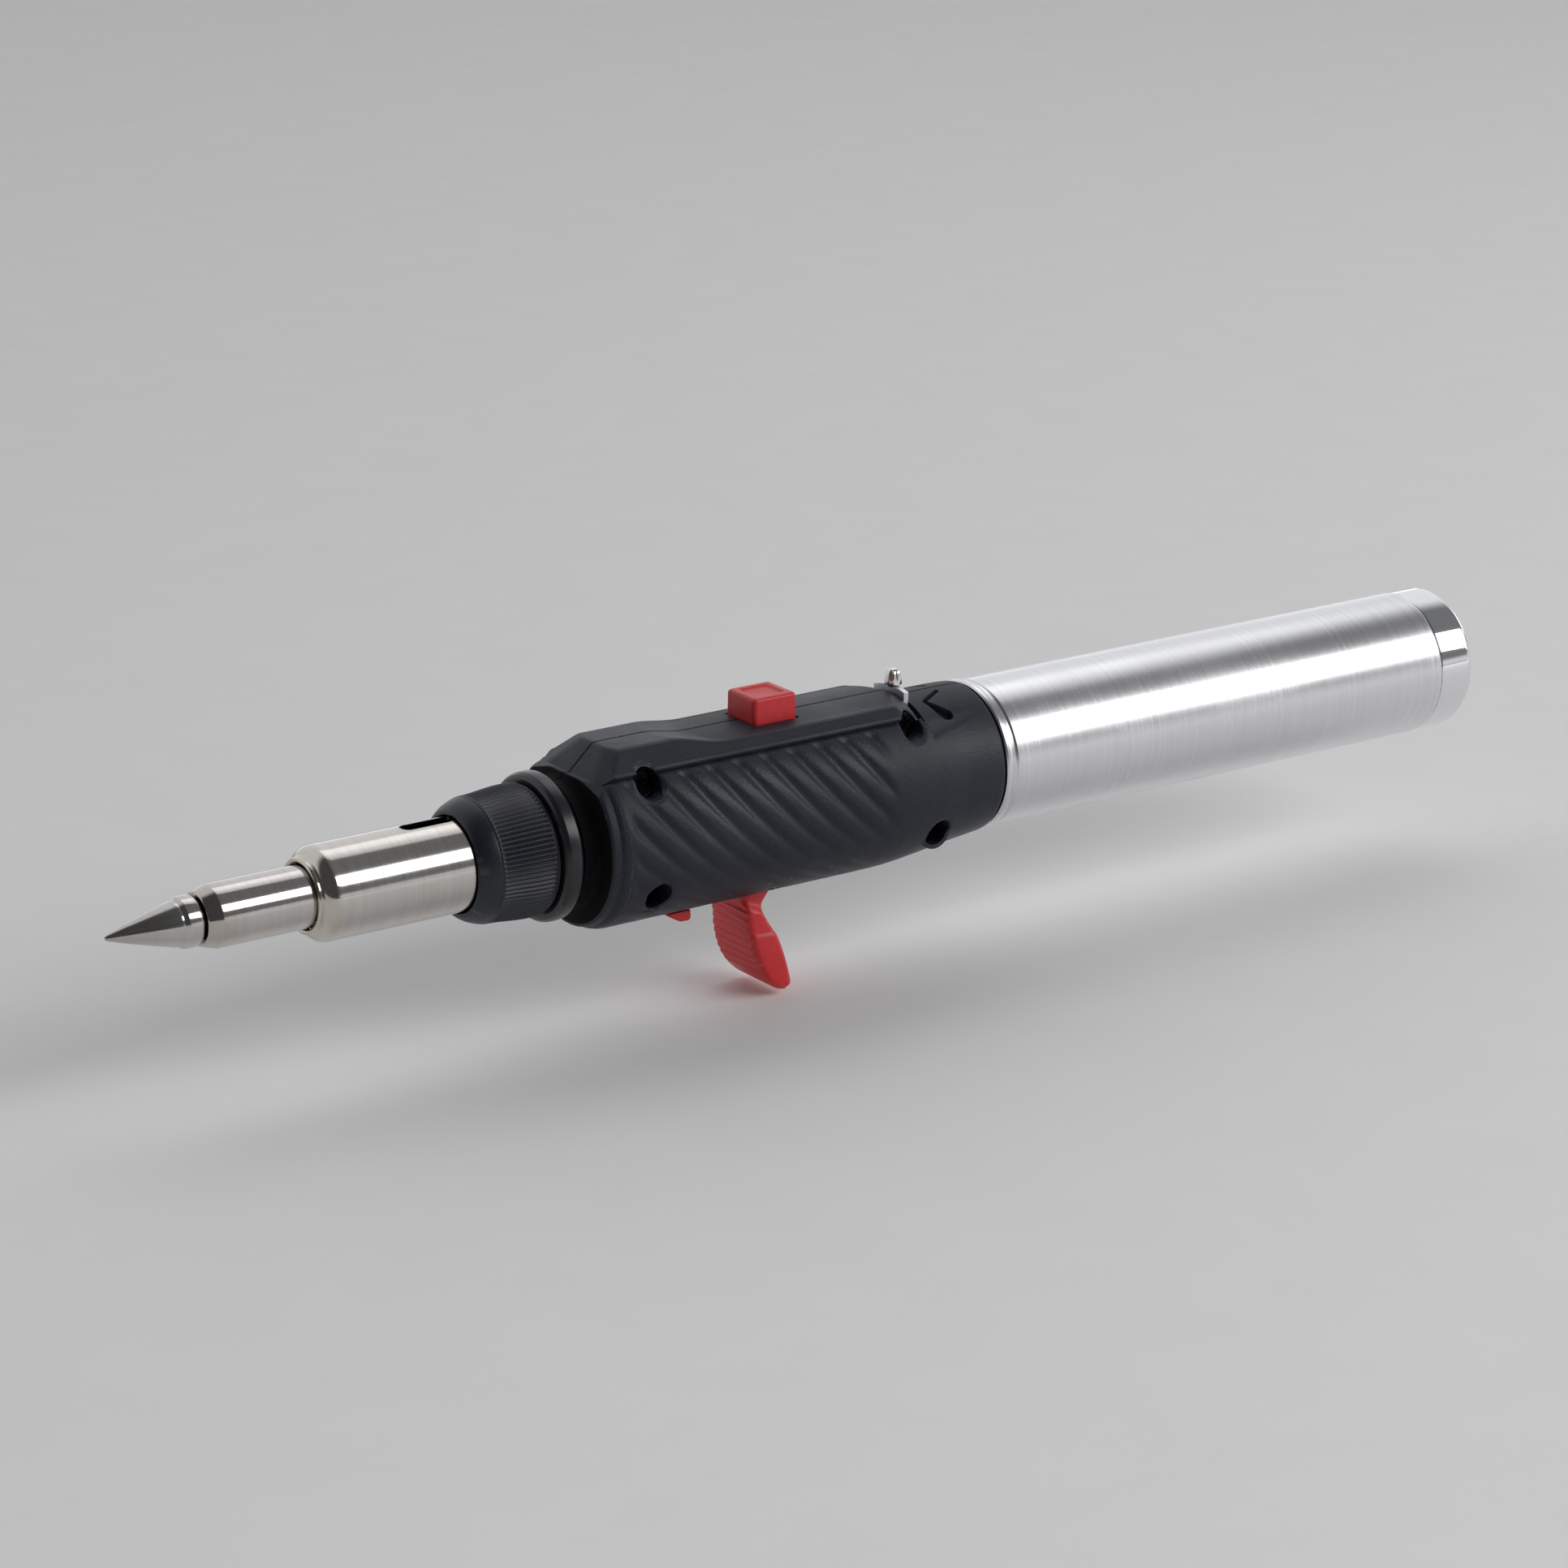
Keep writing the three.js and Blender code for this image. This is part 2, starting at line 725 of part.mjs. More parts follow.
piece("outlet_valve_body", outletValveBody(), BRASS);
piece("outlet_valve_stem", outletValveStem(), BRASS);
piece("outlet_valve_spring", sleeve(-103.6, -92.7, 1.3, 1.95), STEEL);
piece("outlet_valve_seal", ringAround(-95, 3.95, 0.6), RUBBER);
piece("outlet_filter", rodX(0, 0, 2.2, -88.6, -85.6), BRASS);
piece("flow_lever", flowLever(), STAINLESS);
piece("flow_knob", flowKnob(), POLISHED);
piece("valve_link", valveLink(), STEEL);
piece("gas_hose", gasHose(), HOSE);
piece("injector_body", injectorBody(), BRASS);
piece("gas_jet", sleeve(-177.2, -173.3, 0.25, 1.4), BRASS);

piece("piezo_igniter", piezoBody(), GREY_PLASTIC);
piece("igniter_plunger", rodZ(BUTTON.x, 0, 1.8, 1.1, 14.2), GREY_PLASTIC);
piece("igniter_spring", springUpright(BUTTON.x, -6.2, 0.8, 1.25, 1.9), STEEL);
piece("igniter_button", igniterButton(), RED_PLASTIC);
piece("ignition_wire", ignitionWire(), RED_PLASTIC);
piece("electrode_insulator", electrodeInsulator(), CERAMIC);
piece("spark_electrode", rodX(0, SPARK.z, SPARK.r, -201, -167.3, 8), STAINLESS);

piece("trigger", trigger(), RED_PLASTIC);
piece("trigger_pin", rodY(TRIGGER.x, TRIGGER.z, TRIGGER.pin, -7.6, 7.6, SMALL + 4), STEEL);
piece("trigger_spring", triggerSpring(), STEEL);
piece("lock_slider", lockSlider(), RED_PLASTIC);

piece("nose_bush", noseBush(), BRASS);
piece("nose_ring", noseRing(), GLOSS_BLACK);
piece("collar_nut", collarNut(), BLACK_NYLON);
piece("shield_pipe", shieldPipe(), STAINLESS);
piece("burner_tube", burnerTube(), STAINLESS);
piece("flame_holder", flameHolder(), STAINLESS);
piece("catalyst", sleeve(-231.6, -214, 1.5, 3.9), GREY_PLASTIC);
piece("tip_holder", tipHolder(), STAINLESS);
piece("soldering_tip", solderingTip(), POLISHED);

export default torch;
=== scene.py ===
# %% [markdown]
# A pen-style butane torch with a soldering tip, finished in Blender round its CAD model.
# The CAD model says where each piece is and how it moves. Blender is here for the surfaces: this
# script hides most of the faceted CAD pieces and builds a finer mesh in the place of each.
# The torch lies along X with its tip at -X, Z is up and all lengths below are millimetres until
# a mesh is made, because that is how a maker would measure a tool of this size.

import math

import bpy
import numpy as np
from mathutils import Matrix, Vector


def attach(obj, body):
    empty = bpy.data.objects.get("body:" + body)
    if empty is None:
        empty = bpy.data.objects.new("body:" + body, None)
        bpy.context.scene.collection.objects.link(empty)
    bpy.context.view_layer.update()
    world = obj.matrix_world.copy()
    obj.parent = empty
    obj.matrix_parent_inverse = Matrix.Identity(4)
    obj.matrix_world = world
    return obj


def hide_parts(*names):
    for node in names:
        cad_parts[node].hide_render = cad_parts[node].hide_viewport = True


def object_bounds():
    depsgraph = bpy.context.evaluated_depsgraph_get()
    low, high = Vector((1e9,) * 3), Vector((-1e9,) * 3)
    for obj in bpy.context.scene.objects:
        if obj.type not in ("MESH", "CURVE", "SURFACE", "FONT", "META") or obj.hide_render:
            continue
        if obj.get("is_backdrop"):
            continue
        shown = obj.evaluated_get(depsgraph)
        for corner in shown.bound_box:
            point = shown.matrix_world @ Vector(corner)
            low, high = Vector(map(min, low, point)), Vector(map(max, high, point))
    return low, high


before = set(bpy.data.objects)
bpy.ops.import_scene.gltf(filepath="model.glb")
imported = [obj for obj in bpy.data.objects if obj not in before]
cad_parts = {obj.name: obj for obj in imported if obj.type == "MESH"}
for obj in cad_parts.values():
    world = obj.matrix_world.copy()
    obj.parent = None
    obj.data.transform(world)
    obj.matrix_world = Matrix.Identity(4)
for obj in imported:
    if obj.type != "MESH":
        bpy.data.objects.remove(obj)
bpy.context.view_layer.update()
MM = 0.001

# %% [markdown]
# Nearly every surface here is a grid of points: a turned part is its outline swept round the axis,
# and a moulded part is a row of closed loops, each a little different from the last. Modifiers
# could do this too, but a grid made in code gives full control of where the fine detail goes.
# The helpers take loops of points, join them with faces and make sure that the faces point out.


# %% Helpers: points, faces and objects
def signed_volume(points, faces):
    total = 0.0
    for face in faces:
        a = points[face[0]]
        for i in range(1, len(face) - 1):
            total += float(np.dot(a, np.cross(points[face[i]], points[face[i + 1]])))
    return total / 6


def make_object(name, points, faces, check=True):
    points = np.asarray(points, float)
    if check and signed_volume(points, faces) < 0:
        faces = [tuple(reversed(f)) for f in faces]
    mesh = bpy.data.meshes.new(name)
    mesh.from_pydata((points * MM).tolist(), [], faces)
    mesh.validate()
    obj = bpy.data.objects.new(name, mesh)
    bpy.context.scene.collection.objects.link(obj)
    return obj


def strip_faces(count, loops, closed_rows=False):
    faces = []
    rows = loops if closed_rows else loops - 1
    for j in range(rows):
        a, b = j * count, ((j + 1) % loops) * count
        for i in range(count):
            k = (i + 1) % count
            faces.append((a + i, a + k, b + k, b + i))
    return faces


def loft(name, loops):
    """Closed loops with the same number of points, joined in order and capped at both ends."""
    count = len(loops[0])
    points = np.concatenate([np.asarray(loop, float) for loop in loops])
    faces = strip_faces(count, len(loops))
    faces.append(tuple(reversed(range(count))))
    faces.append(tuple(range(len(points) - count, len(points))))
    return make_object(name, points, faces)


def smooth_faces(obj, sharp_degrees=38, weighted=True):
    obj.data.shade_smooth()
    obj.data.set_sharp_from_angle(angle=math.radians(sharp_degrees))
    if weighted:
        modifier = obj.modifiers.new("even_normals", "WEIGHTED_NORMAL")
        modifier.keep_sharp = True
    return obj


def place(obj, body, slot, material, *nodes, **smooth):
    """Give a finished mesh its finish, the CAD body it moves with and the CAD pieces it stands for."""
    smooth_faces(obj, **smooth)
    obj.data.materials.clear()
    obj.data.materials.append(MATERIALS[material])
    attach(obj, body)
    if nodes:
        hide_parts(*nodes)
    print(f"{obj.name}: {len(obj.data.polygons)} faces")
    return obj


# %% [markdown]
# No real edge is perfectly sharp: a moulded or turned corner has a small radius that catches the
# light as a thin line. fillet() replaces each corner of an outline with a short arc, so the edges
# of every turned part shine as they should. The radius shrinks where a side is too short for it.


# %% Helpers: outlines with rounded corners
def fillet(outline, radius, steps=4, closed=False):
    pts = [np.array(p, float) for p in outline]
    n = len(pts)
    out = []
    for i, p in enumerate(pts):
        if not closed and i in (0, n - 1):
            out.append(p)
            continue
        a, b = pts[i - 1] - p, pts[(i + 1) % n] - p
        la, lb = np.linalg.norm(a), np.linalg.norm(b)
        cos_angle = float(np.clip(np.dot(a, b) / (la * lb), -1, 1))
        half = math.acos(cos_angle) / 2
        if half > math.radians(82):
            out.append(p)
            continue
        back = min(radius / math.tan(half), 0.45 * la, 0.45 * lb)
        start, end = p + a / la * back, p + b / lb * back
        for k in range(steps + 1):
            t = k / steps
            out.append((1 - t) ** 2 * start + 2 * t * (1 - t) * p + t**2 * end)
    return np.array(out)


def spun(profile, sides, ripple=None):
    """Points of a profile of [x, r] swept round the X axis, as (profile point, side, xyz)."""
    profile = np.asarray(profile, float)
    angle = np.arange(sides) * 2 * math.pi / sides
    x = np.repeat(profile[:, :1], sides, axis=1)
    r = np.repeat(profile[:, 1:], sides, axis=1)
    if ripple is not None:
        r = ripple(x, r, angle[None, :])
    return np.stack([x, r * np.sin(angle), r * np.cos(angle)], axis=-1)


def turned(name, outline, radius=0.12, sides=128, ripple=None, steps=4):
    """A turned piece from [x, r] points: on the axis at both ends, or a closed ring."""
    solid = outline[0][1] == 0
    profile = fillet(outline, radius, steps, closed=not solid)
    grid = spun(profile, sides, ripple)
    if not solid:
        points = grid.reshape(-1, 3)
        return make_object(name, points, strip_faces(sides, len(profile), closed_rows=True))
    inner = grid[1:-1].reshape(-1, 3)
    points = np.concatenate([inner, grid[0, :1], grid[-1, :1]])
    rows = len(profile) - 2
    faces = strip_faces(sides, rows)
    first, last = len(inner), len(inner) + 1
    for i in range(sides):
        k = (i + 1) % sides
        faces.append((first, k, i))
        faces.append((last, (rows - 1) * sides + i, (rows - 1) * sides + k))
    return make_object(name, points, faces)


def rod(name, start, end, radius, sides=48):
    """A plain round rod between two points, used to drill holes and to add posts."""
    start, end = np.array(start, float), np.array(end, float)
    axis = (end - start) / np.linalg.norm(end - start)
    side = np.cross(axis, [0.0, 0.0, 1.0] if abs(axis[2]) < 0.9 else [1.0, 0.0, 0.0])
    side /= np.linalg.norm(side)
    other = np.cross(axis, side)
    angle = np.arange(sides) * 2 * math.pi / sides
    ring = radius * (np.cos(angle)[:, None] * side + np.sin(angle)[:, None] * other)
    return loft(name, [start + ring, end + ring])


def block(name, low, high):
    (x0, y0, z0), (x1, y1, z1) = low, high
    base = [(x0, y0), (x1, y0), (x1, y1), (x0, y1)]
    return loft(name, [[(x, y, z) for x, y in base] for z in (z0, z1)])


def carve(obj, *steps):
    """Cut ('DIFFERENCE') or add ('UNION') helper solids, then throw the helpers away."""
    for operation, helper in steps:
        modifier = obj.modifiers.new("carve", "BOOLEAN")
        modifier.operation = operation
        modifier.solver = "MANIFOLD"
        modifier.object = helper
    graph = bpy.context.evaluated_depsgraph_get()
    made = bpy.data.meshes.new_from_object(obj.evaluated_get(graph))
    obj.modifiers.clear()
    obj.data = made
    for _, helper in steps:
        bpy.data.objects.remove(helper)
    return obj


def rounded_rectangle(half_x, half_y, radius, steps=6):
    radius = min(radius, half_x, half_y)
    loop = []
    for cx, cy, start in ((1, 1, 0), (-1, 1, 90), (-1, -1, 180), (1, -1, 270)):
        for k in range(steps + 1):
            a = math.radians(start + 90 * k / steps)
            loop.append(
                (
                    cx * (half_x - radius) + radius * math.cos(a),
                    cy * (half_y - radius) + radius * math.sin(a),
                )
            )
    return np.array(loop)


# %% [markdown]
# Finishes. Each material is a Principled shader, and what gives it life is small-scale variation:
# a mould's spark-eroded grain, the rings a lathe or a brushing wheel leaves, rubbed edges and
# finger marks. Each of these effects is a node group that puts out only masks and heights, so that
# one effect can be placed in many materials with its own values.


# %% Node group helper
def new_group(name, inputs, outputs):
    group = bpy.data.node_groups.new(name, "ShaderNodeTree")
    for label, value in inputs.items():
        socket = group.interface.new_socket(label, in_out="INPUT", socket_type="NodeSocketFloat")
        socket.default_value = value
    for label in outputs:
        kind = "NodeSocketColor" if label == "Color" else "NodeSocketFloat"
        group.interface.new_socket(label, in_out="OUTPUT", socket_type=kind)
    return group, group.nodes.new("NodeGroupInput"), group.nodes.new("NodeGroupOutput")


def node(tree, kind, values=None, **settings):
    made = tree.nodes.new(kind)
    for key, value in settings.items():
        setattr(made, key, value)
    for key, value in (values or {}).items():
        if hasattr(value, "is_output"):
            tree.links.new(value, made.inputs[key])
        else:
            made.inputs[key].default_value = value
    return made


def calc(tree, operation, a, b=0.0, clamp=False):
    return node(tree, "ShaderNodeMath", {0: a, 1: b}, operation=operation, use_clamp=clamp).outputs[0]


def spread(tree, value, low, high, to_low=0.0, to_high=1.0, smooth=False):
    made = node(
        tree,
        "ShaderNodeMapRange",
        {"Value": value, "From Min": low, "From Max": high, "To Min": to_low, "To Max": to_high},
        interpolation_type="SMOOTHSTEP" if smooth else "LINEAR",
    )
    return made.outputs["Result"]


# %% [markdown]
# The mould grain of a nylon handle is a field of tiny rounded pits, about a quarter of a
# millimetre across, over a softer unevenness. Two noises of different size, one of them cells,
# look more like it than a single noise.

# %% Group: moulded grain
tree, given, result = new_group("moulded_grain", {"Size": 3500.0}, ["Height", "Shade"])
place_on = node(tree, "ShaderNodeTexCoord").outputs["Object"]
size = given.outputs["Size"]
pits = node(tree, "ShaderNodeTexVoronoi", {"Vector": place_on, "Scale": size}, feature="SMOOTH_F1")
half_size = calc(tree, "MULTIPLY", size, 0.45)
bumps = node(tree, "ShaderNodeTexNoise", {"Vector": place_on, "Scale": half_size, "Detail": 3.0})
wide = node(tree, "ShaderNodeTexNoise", {"Vector": place_on, "Scale": 90.0, "Detail": 4.0})
height = calc(tree, "ADD", pits.outputs["Distance"], bumps.outputs["Fac"])
tree.links.new(height, result.inputs["Height"])
mottle = calc(tree, "ADD", wide.outputs["Fac"], calc(tree, "MULTIPLY", bumps.outputs["Fac"], 0.6))
tree.links.new(spread(tree, mottle, 0.55, 1.1), result.inputs["Shade"])
print("group moulded_grain")

# %% [markdown]
# A tube that was brushed or turned in a lathe has fine rings round it. The noise is squeezed
# hard along X, so that it changes quickly along the torch and slowly round it.

# %% Group: turned rings
tree, given, result = new_group("turned_rings", {"Density": 9000.0, "Spin": 60.0}, ["Height", "Shade"])
place_on = node(tree, "ShaderNodeTexCoord").outputs["Object"]
squeeze = node(
    tree, "ShaderNodeCombineXYZ",
    {"X": given.outputs["Density"], "Y": given.outputs["Spin"], "Z": given.outputs["Spin"]},
)
stretched = node(tree, "ShaderNodeVectorMath", {0: place_on, 1: squeeze.outputs[0]}, operation="MULTIPLY")
fine = node(
    tree, "ShaderNodeTexNoise",
    {"Vector": stretched.outputs[0], "Scale": 1.0, "Detail": 4.0, "Roughness": 0.7},
)
coarse_at = node(tree, "ShaderNodeVectorMath", {0: stretched.outputs[0], "Scale": 0.13}, operation="SCALE")
coarse = node(tree, "ShaderNodeTexNoise", {"Vector": coarse_at.outputs[0], "Scale": 1.0, "Detail": 3.0})
tree.links.new(fine.outputs["Fac"], result.inputs["Height"])
both = calc(tree, "ADD", fine.outputs["Fac"], coarse.outputs["Fac"])
tree.links.new(spread(tree, both, 0.65, 1.35), result.inputs["Shade"])
print("group turned_rings")

# %% [markdown]
# Handling leaves two things: outer edges rubbed paler and smoother, and soft smudges where fingers
# rest. The first comes from how convex the mesh is, the second from a large soft noise.

# %% Group: handling
tree, given, result = new_group("handling", {"Edge": 0.52, "Patch": 45.0}, ["Rubbed", "Smudge"])
curve = node(tree, "ShaderNodeNewGeometry").outputs["Pointiness"]
top = calc(tree, "ADD", given.outputs["Edge"], 0.05)
rubbed = node(
    tree, "ShaderNodeMapRange", {"Value": curve, "From Min": given.outputs["Edge"], "From Max": top},
)
place_on = node(tree, "ShaderNodeTexCoord").outputs["Object"]
patch = node(
    tree, "ShaderNodeTexNoise", {"Vector": place_on, "Scale": given.outputs["Patch"], "Detail": 5.0},
)
broken = node(tree, "ShaderNodeTexNoise", {"Vector": place_on, "Scale": 900.0, "Detail": 3.0})
uneven = calc(tree, "MULTIPLY", rubbed.outputs["Result"], spread(tree, broken.outputs["Fac"], 0.35, 0.6))
tree.links.new(uneven, result.inputs["Rubbed"])
tree.links.new(spread(tree, patch.outputs["Fac"], 0.4, 0.65, smooth=True), result.inputs["Smudge"])
print("group handling")

# %% [markdown]
# Steel and nickel near a flame take on straw and brown tints, strongest at the hot end. The
# group says how hot each place got, from its position along the torch.

# %% Group: heat
tree, given, result = new_group("heat", {"Hot": -0.222, "Cool": -0.205}, ["Mask"])
place_on = node(tree, "ShaderNodeTexCoord").outputs["Object"]
along = node(tree, "ShaderNodeSeparateXYZ", {"Vector": place_on}).outputs["X"]
drift = node(tree, "ShaderNodeTexNoise", {"Vector": place_on, "Scale": 120.0, "Detail": 3.0}).outputs["Fac"]
wobble = calc(tree, "MULTIPLY", calc(tree, "SUBTRACT", drift, 0.5), 0.008)
moved = calc(tree, "ADD", along, wobble)
ends = {"From Min": given.outputs["Hot"], "From Max": given.outputs["Cool"], "To Min": 1.0, "To Max": 0.0}
warmth = node(tree, "ShaderNodeMapRange", {"Value": moved, **ends})
tree.links.new(warmth.outputs["Result"], result.inputs["Mask"])
print("group heat")

# %% [markdown]
# The materials are made by two small recipes. A plastic has the mould grain as its bump, and its
# colour shifts a little with the grain and the rubbed edges. A metal has turned rings or plain
# smudges, and its roughness varies with them. Values that are the same all over the surface are
# set on the shader's own sockets.

# %% Material recipes
MATERIALS = {}


def start_material(name):
    material = bpy.data.materials.new(name)
    material.use_nodes = True
    tree = material.node_tree
    MATERIALS[name] = material
    return tree, tree.nodes["Principled BSDF"]


def placed(tree, group, **values):
    made = tree.nodes.new("ShaderNodeGroup")
    made.node_tree = bpy.data.node_groups[group]
    for key, value in values.items():
        made.inputs[key].default_value = value
    return made.outputs


def mixed(tree, mask, a, b):
    made = tree.nodes.new("ShaderNodeMix")
    made.data_type = "RGBA"
    tree.links.new(mask, made.inputs["Factor"])
    for socket, value in ((made.inputs[6], a), (made.inputs[7], b)):
        if hasattr(value, "is_output"):
            tree.links.new(value, socket)
        else:
            socket.default_value = (*value, 1.0)
    return made.outputs[2]


def bump(tree, shader, height, strength, distance):
    made = node(tree, "ShaderNodeBump", {"Height": height, "Strength": strength, "Distance": distance})
    tree.links.new(made.outputs["Normal"], shader.inputs["Normal"])


def plastic(name, dark, light, worn, rough, grain=3500.0, depth=0.35, coat=0.0, specular=0.5):
    tree, shader = start_material(name)
    grain_out = placed(tree, "moulded_grain", Size=grain)
    hand = placed(tree, "handling", Edge=0.53)
    colour = mixed(tree, grain_out["Shade"], dark, light)
    rubbed = calc(tree, "MULTIPLY", hand["Rubbed"], 0.55)
    colour = mixed(tree, rubbed, colour, worn)
    tree.links.new(colour, shader.inputs["Base Color"])
    low, high = rough
    smudged = spread(tree, hand["Smudge"], 0.0, 1.0, high, low)
    smoother = calc(tree, "MULTIPLY", rubbed, 0.15)
    tree.links.new(calc(tree, "SUBTRACT", smudged, smoother), shader.inputs["Roughness"])
    shader.inputs["Specular IOR Level"].default_value = specular
    shader.inputs["Coat Weight"].default_value = coat
    shader.inputs["Coat Roughness"].default_value = 0.2
    bump(tree, shader, grain_out["Height"], depth, 0.00006)
    return tree, shader


def metal(
    name, dark, light, rough, rings=9000.0, depth=0.1, anisotropic=0.0, hot=None,
    tint=(0.6, 0.45, 0.2),
):
    tree, shader = start_material(name)
    ring_out = placed(tree, "turned_rings", Density=rings)
    hand = placed(tree, "handling", Edge=0.53)
    colour = mixed(tree, ring_out["Shade"], dark, light)
    if hot:
        warm = placed(tree, "heat", Hot=hot[0], Cool=hot[1])
        colour = mixed(tree, calc(tree, "MULTIPLY", warm["Mask"], hot[2]), colour, tint)
    tree.links.new(colour, shader.inputs["Base Color"])
    low, high = rough
    uneven = calc(tree, "MULTIPLY", calc(tree, "ADD", ring_out["Shade"], hand["Smudge"]), 0.5)
    tree.links.new(spread(tree, uneven, 0.0, 1.0, low, high), shader.inputs["Roughness"])
    shader.inputs["Metallic"].default_value = 1.0
    if anisotropic:
        shader.inputs["Anisotropic"].default_value = anisotropic
        round_x = node(tree, "ShaderNodeTangent", direction_type="RADIAL", axis="X")
        tree.links.new(round_x.outputs["Tangent"], shader.inputs["Tangent"])
    bump(tree, shader, ring_out["Height"], depth, 0.00002)
    return tree, shader


# %% The finishes of this torch
plastic(
    "black_nylon", (0.008, 0.0102, 0.018), (0.0155, 0.0195, 0.033), (0.07, 0.076, 0.098), (0.42, 0.54),
    3600.0, 0.6, specular=0.4,
)
plastic(
    "collar_nylon", (0.0065, 0.008, 0.0145), (0.012, 0.015, 0.0255), (0.065, 0.072, 0.095),
    (0.36, 0.46), 4200.0, 0.3,
)
plastic(
    "gloss_black", (0.009, 0.010, 0.013), (0.014, 0.015, 0.019), (0.06, 0.06, 0.07), (0.18, 0.28),
    5200.0, 0.08,
)
plastic(
    "red_plastic", (0.60, 0.014, 0.019), (0.76, 0.024, 0.030), (0.80, 0.12, 0.13), (0.34, 0.46),
    4200.0, 0.14, 0.15,
)
# near-black for the groove behind the nose ring: painted shade, not a colour of the nylon itself
plastic(
    "groove_painted_shade", (0.003, 0.003, 0.004), (0.006, 0.006, 0.008), (0.01, 0.01, 0.012), (0.7, 0.8),
    3600.0, 0.3, specular=0.12,
)
plastic(
    "dark_plastic", (0.03, 0.03, 0.033), (0.05, 0.05, 0.055), (0.1, 0.1, 0.1), (0.35, 0.45), 4200.0,
    0.15,
)
plastic("wire_silicone", (0.3, 0.02, 0.02), (0.4, 0.03, 0.03), (0.5, 0.1, 0.1), (0.4, 0.5), 6000.0, 0.1)
plastic(
    "seal_rubber", (0.012, 0.012, 0.013), (0.022, 0.022, 0.024), (0.05, 0.05, 0.05), (0.6, 0.75),
    6000.0, 0.3,
)
plastic(
    "ceramic", (0.72, 0.69, 0.62), (0.84, 0.82, 0.76), (0.9, 0.88, 0.84), (0.2, 0.32), 5000.0, 0.08,
    0.3,
)
tree, shader = plastic(
    "hose_silicone", (0.60, 0.57, 0.5), (0.72, 0.69, 0.62), (0.8, 0.78, 0.7), (0.3, 0.42), 5000.0,
    0.08,
)
shader.inputs["Subsurface Weight"].default_value = 0.4
shader.inputs["Subsurface Scale"].default_value = 0.001

metal("brushed_aluminium", (0.68, 0.68, 0.70), (0.82, 0.82, 0.84), (0.22, 0.30), 11000.0, 0.12, 0.3)
metal("plain_aluminium", (0.6, 0.6, 0.62), (0.75, 0.75, 0.77), (0.3, 0.42), 7000.0, 0.2)
metal("polished_cap", (0.80, 0.80, 0.83), (0.87, 0.87, 0.89), (0.05, 0.10), 9000.0, 0.03)
metal(
    "nickel_pipe", (0.56, 0.53, 0.50), (0.66, 0.63, 0.60), (0.07, 0.15), 7000.0, 0.05,
    hot=(-0.2212, -0.2175, 0.3), tint=(0.60, 0.53, 0.36),
)
metal(
    "nickel_holder", (0.54, 0.51, 0.49), (0.64, 0.61, 0.59), (0.08, 0.16), 7000.0, 0.05,
    hot=(-0.2385, -0.2330, 0.35), tint=(0.42, 0.36, 0.28),
)
metal(
    "nickel_tip", (0.50, 0.48, 0.46), (0.62, 0.60, 0.58), (0.07, 0.16), 6000.0, 0.06,
    hot=(-0.2540, -0.2420, 0.45), tint=(0.36, 0.33, 0.30),
)
metal(
    "burner_steel", (0.42, 0.38, 0.33), (0.6, 0.56, 0.5), (0.2, 0.36), 8000.0, 0.1,
    hot=(-0.215, -0.19, 0.8), tint=(0.45, 0.28, 0.2),
)
metal("lever_steel", (0.70, 0.70, 0.78), (0.84, 0.84, 0.92), (0.40, 0.55), 6000.0, 0.1)
metal("knob_nickel", (0.72, 0.70, 0.66), (0.84, 0.82, 0.78), (0.14, 0.24), 6000.0, 0.06)
metal("zinc_steel", (0.46, 0.47, 0.49), (0.6, 0.61, 0.63), (0.28, 0.42), 5000.0, 0.1)
metal("black_steel", (0.004, 0.004, 0.005), (0.012, 0.012, 0.013), (0.5, 0.65), 5000.0, 0.1)
metal("spring_wire", (0.42, 0.42, 0.43), (0.55, 0.55, 0.56), (0.22, 0.34), 5000.0, 0.05)
metal("turned_brass", (0.62, 0.43, 0.17), (0.78, 0.58, 0.27), (0.18, 0.32), 8000.0, 0.12)
metal("gauze_metal", (0.10, 0.09, 0.085), (0.22, 0.20, 0.19), (0.5, 0.7), 5000.0, 0.6)
print(len(MATERIALS), "materials")

# %% [markdown]
# The handle is two nylon half shells that meet in the middle plane. Its outside is not a simple
# body: a barrel with a ridge on top, a sloped nose, a lower collar at the back and a grip of
# slanted flutes on each side. It could be carved from blocks with booleans, but the flutes and
# soft edges would be hard to get. Instead one function gives the distance from the torch's
# axis to the surface for any place along it and any angle round it, and a fine grid follows it.

# %% Handle: sizes
SHELL_FRONT, SHELL_REAR = -178.6, -100.4
SEAM_HALF = 0.035  # half the hairline between the shells
RIM_X, NOSE_MIN_R = -175.35, 10.75
LEVER_SLOT_X, COLLAR_X = -114.75, -113.9
FOOT = (8.95, 11.45)  # where the ridge's side meets the barrel, as (across, up)
SHOULDER = (5.5, 14.7)
FOOT_ANGLE = math.degrees(math.atan2(*FOOT))
COLLAR_R = 12.45
FLUTE_PITCH, FLUTE_DEPTH = 5.0, 0.55
# x, z and the hole's radius
SCREWS = [(-166.7, 9.9, 2.3), (-166.5, -7.5, 2.3), (-117.2, 10.05, 2.1), (-113.0, -7.6, 2.3)]
BARREL = [
    (-178.6, 10.4),
    (-178.2, 10.0),
    (-176.6, 9.9),
    (-176.0, 10.4),
    (-175.65, 11.8),
    (-175.5, 13.0),
    (-175.35, 13.42),
    (-175.1, 13.56),
    (-174.7, 13.62),
    (-174.2, 13.66),
    (-173.95, 13.68),
    (-173.8, 13.92),
    (-173.4, 14.16),
    (-172.8, 14.32),
    (-172.0, 14.4),
    (-123.5, 14.4),
    (-120.5, 14.32),
    (-117.5, 14.1),
    (-112.9, 13.6),
    (-108.2, 13.0),
    (-101.2, 12.32),
    (-100.7, 12.2),
    (-100.4, 11.95),
]


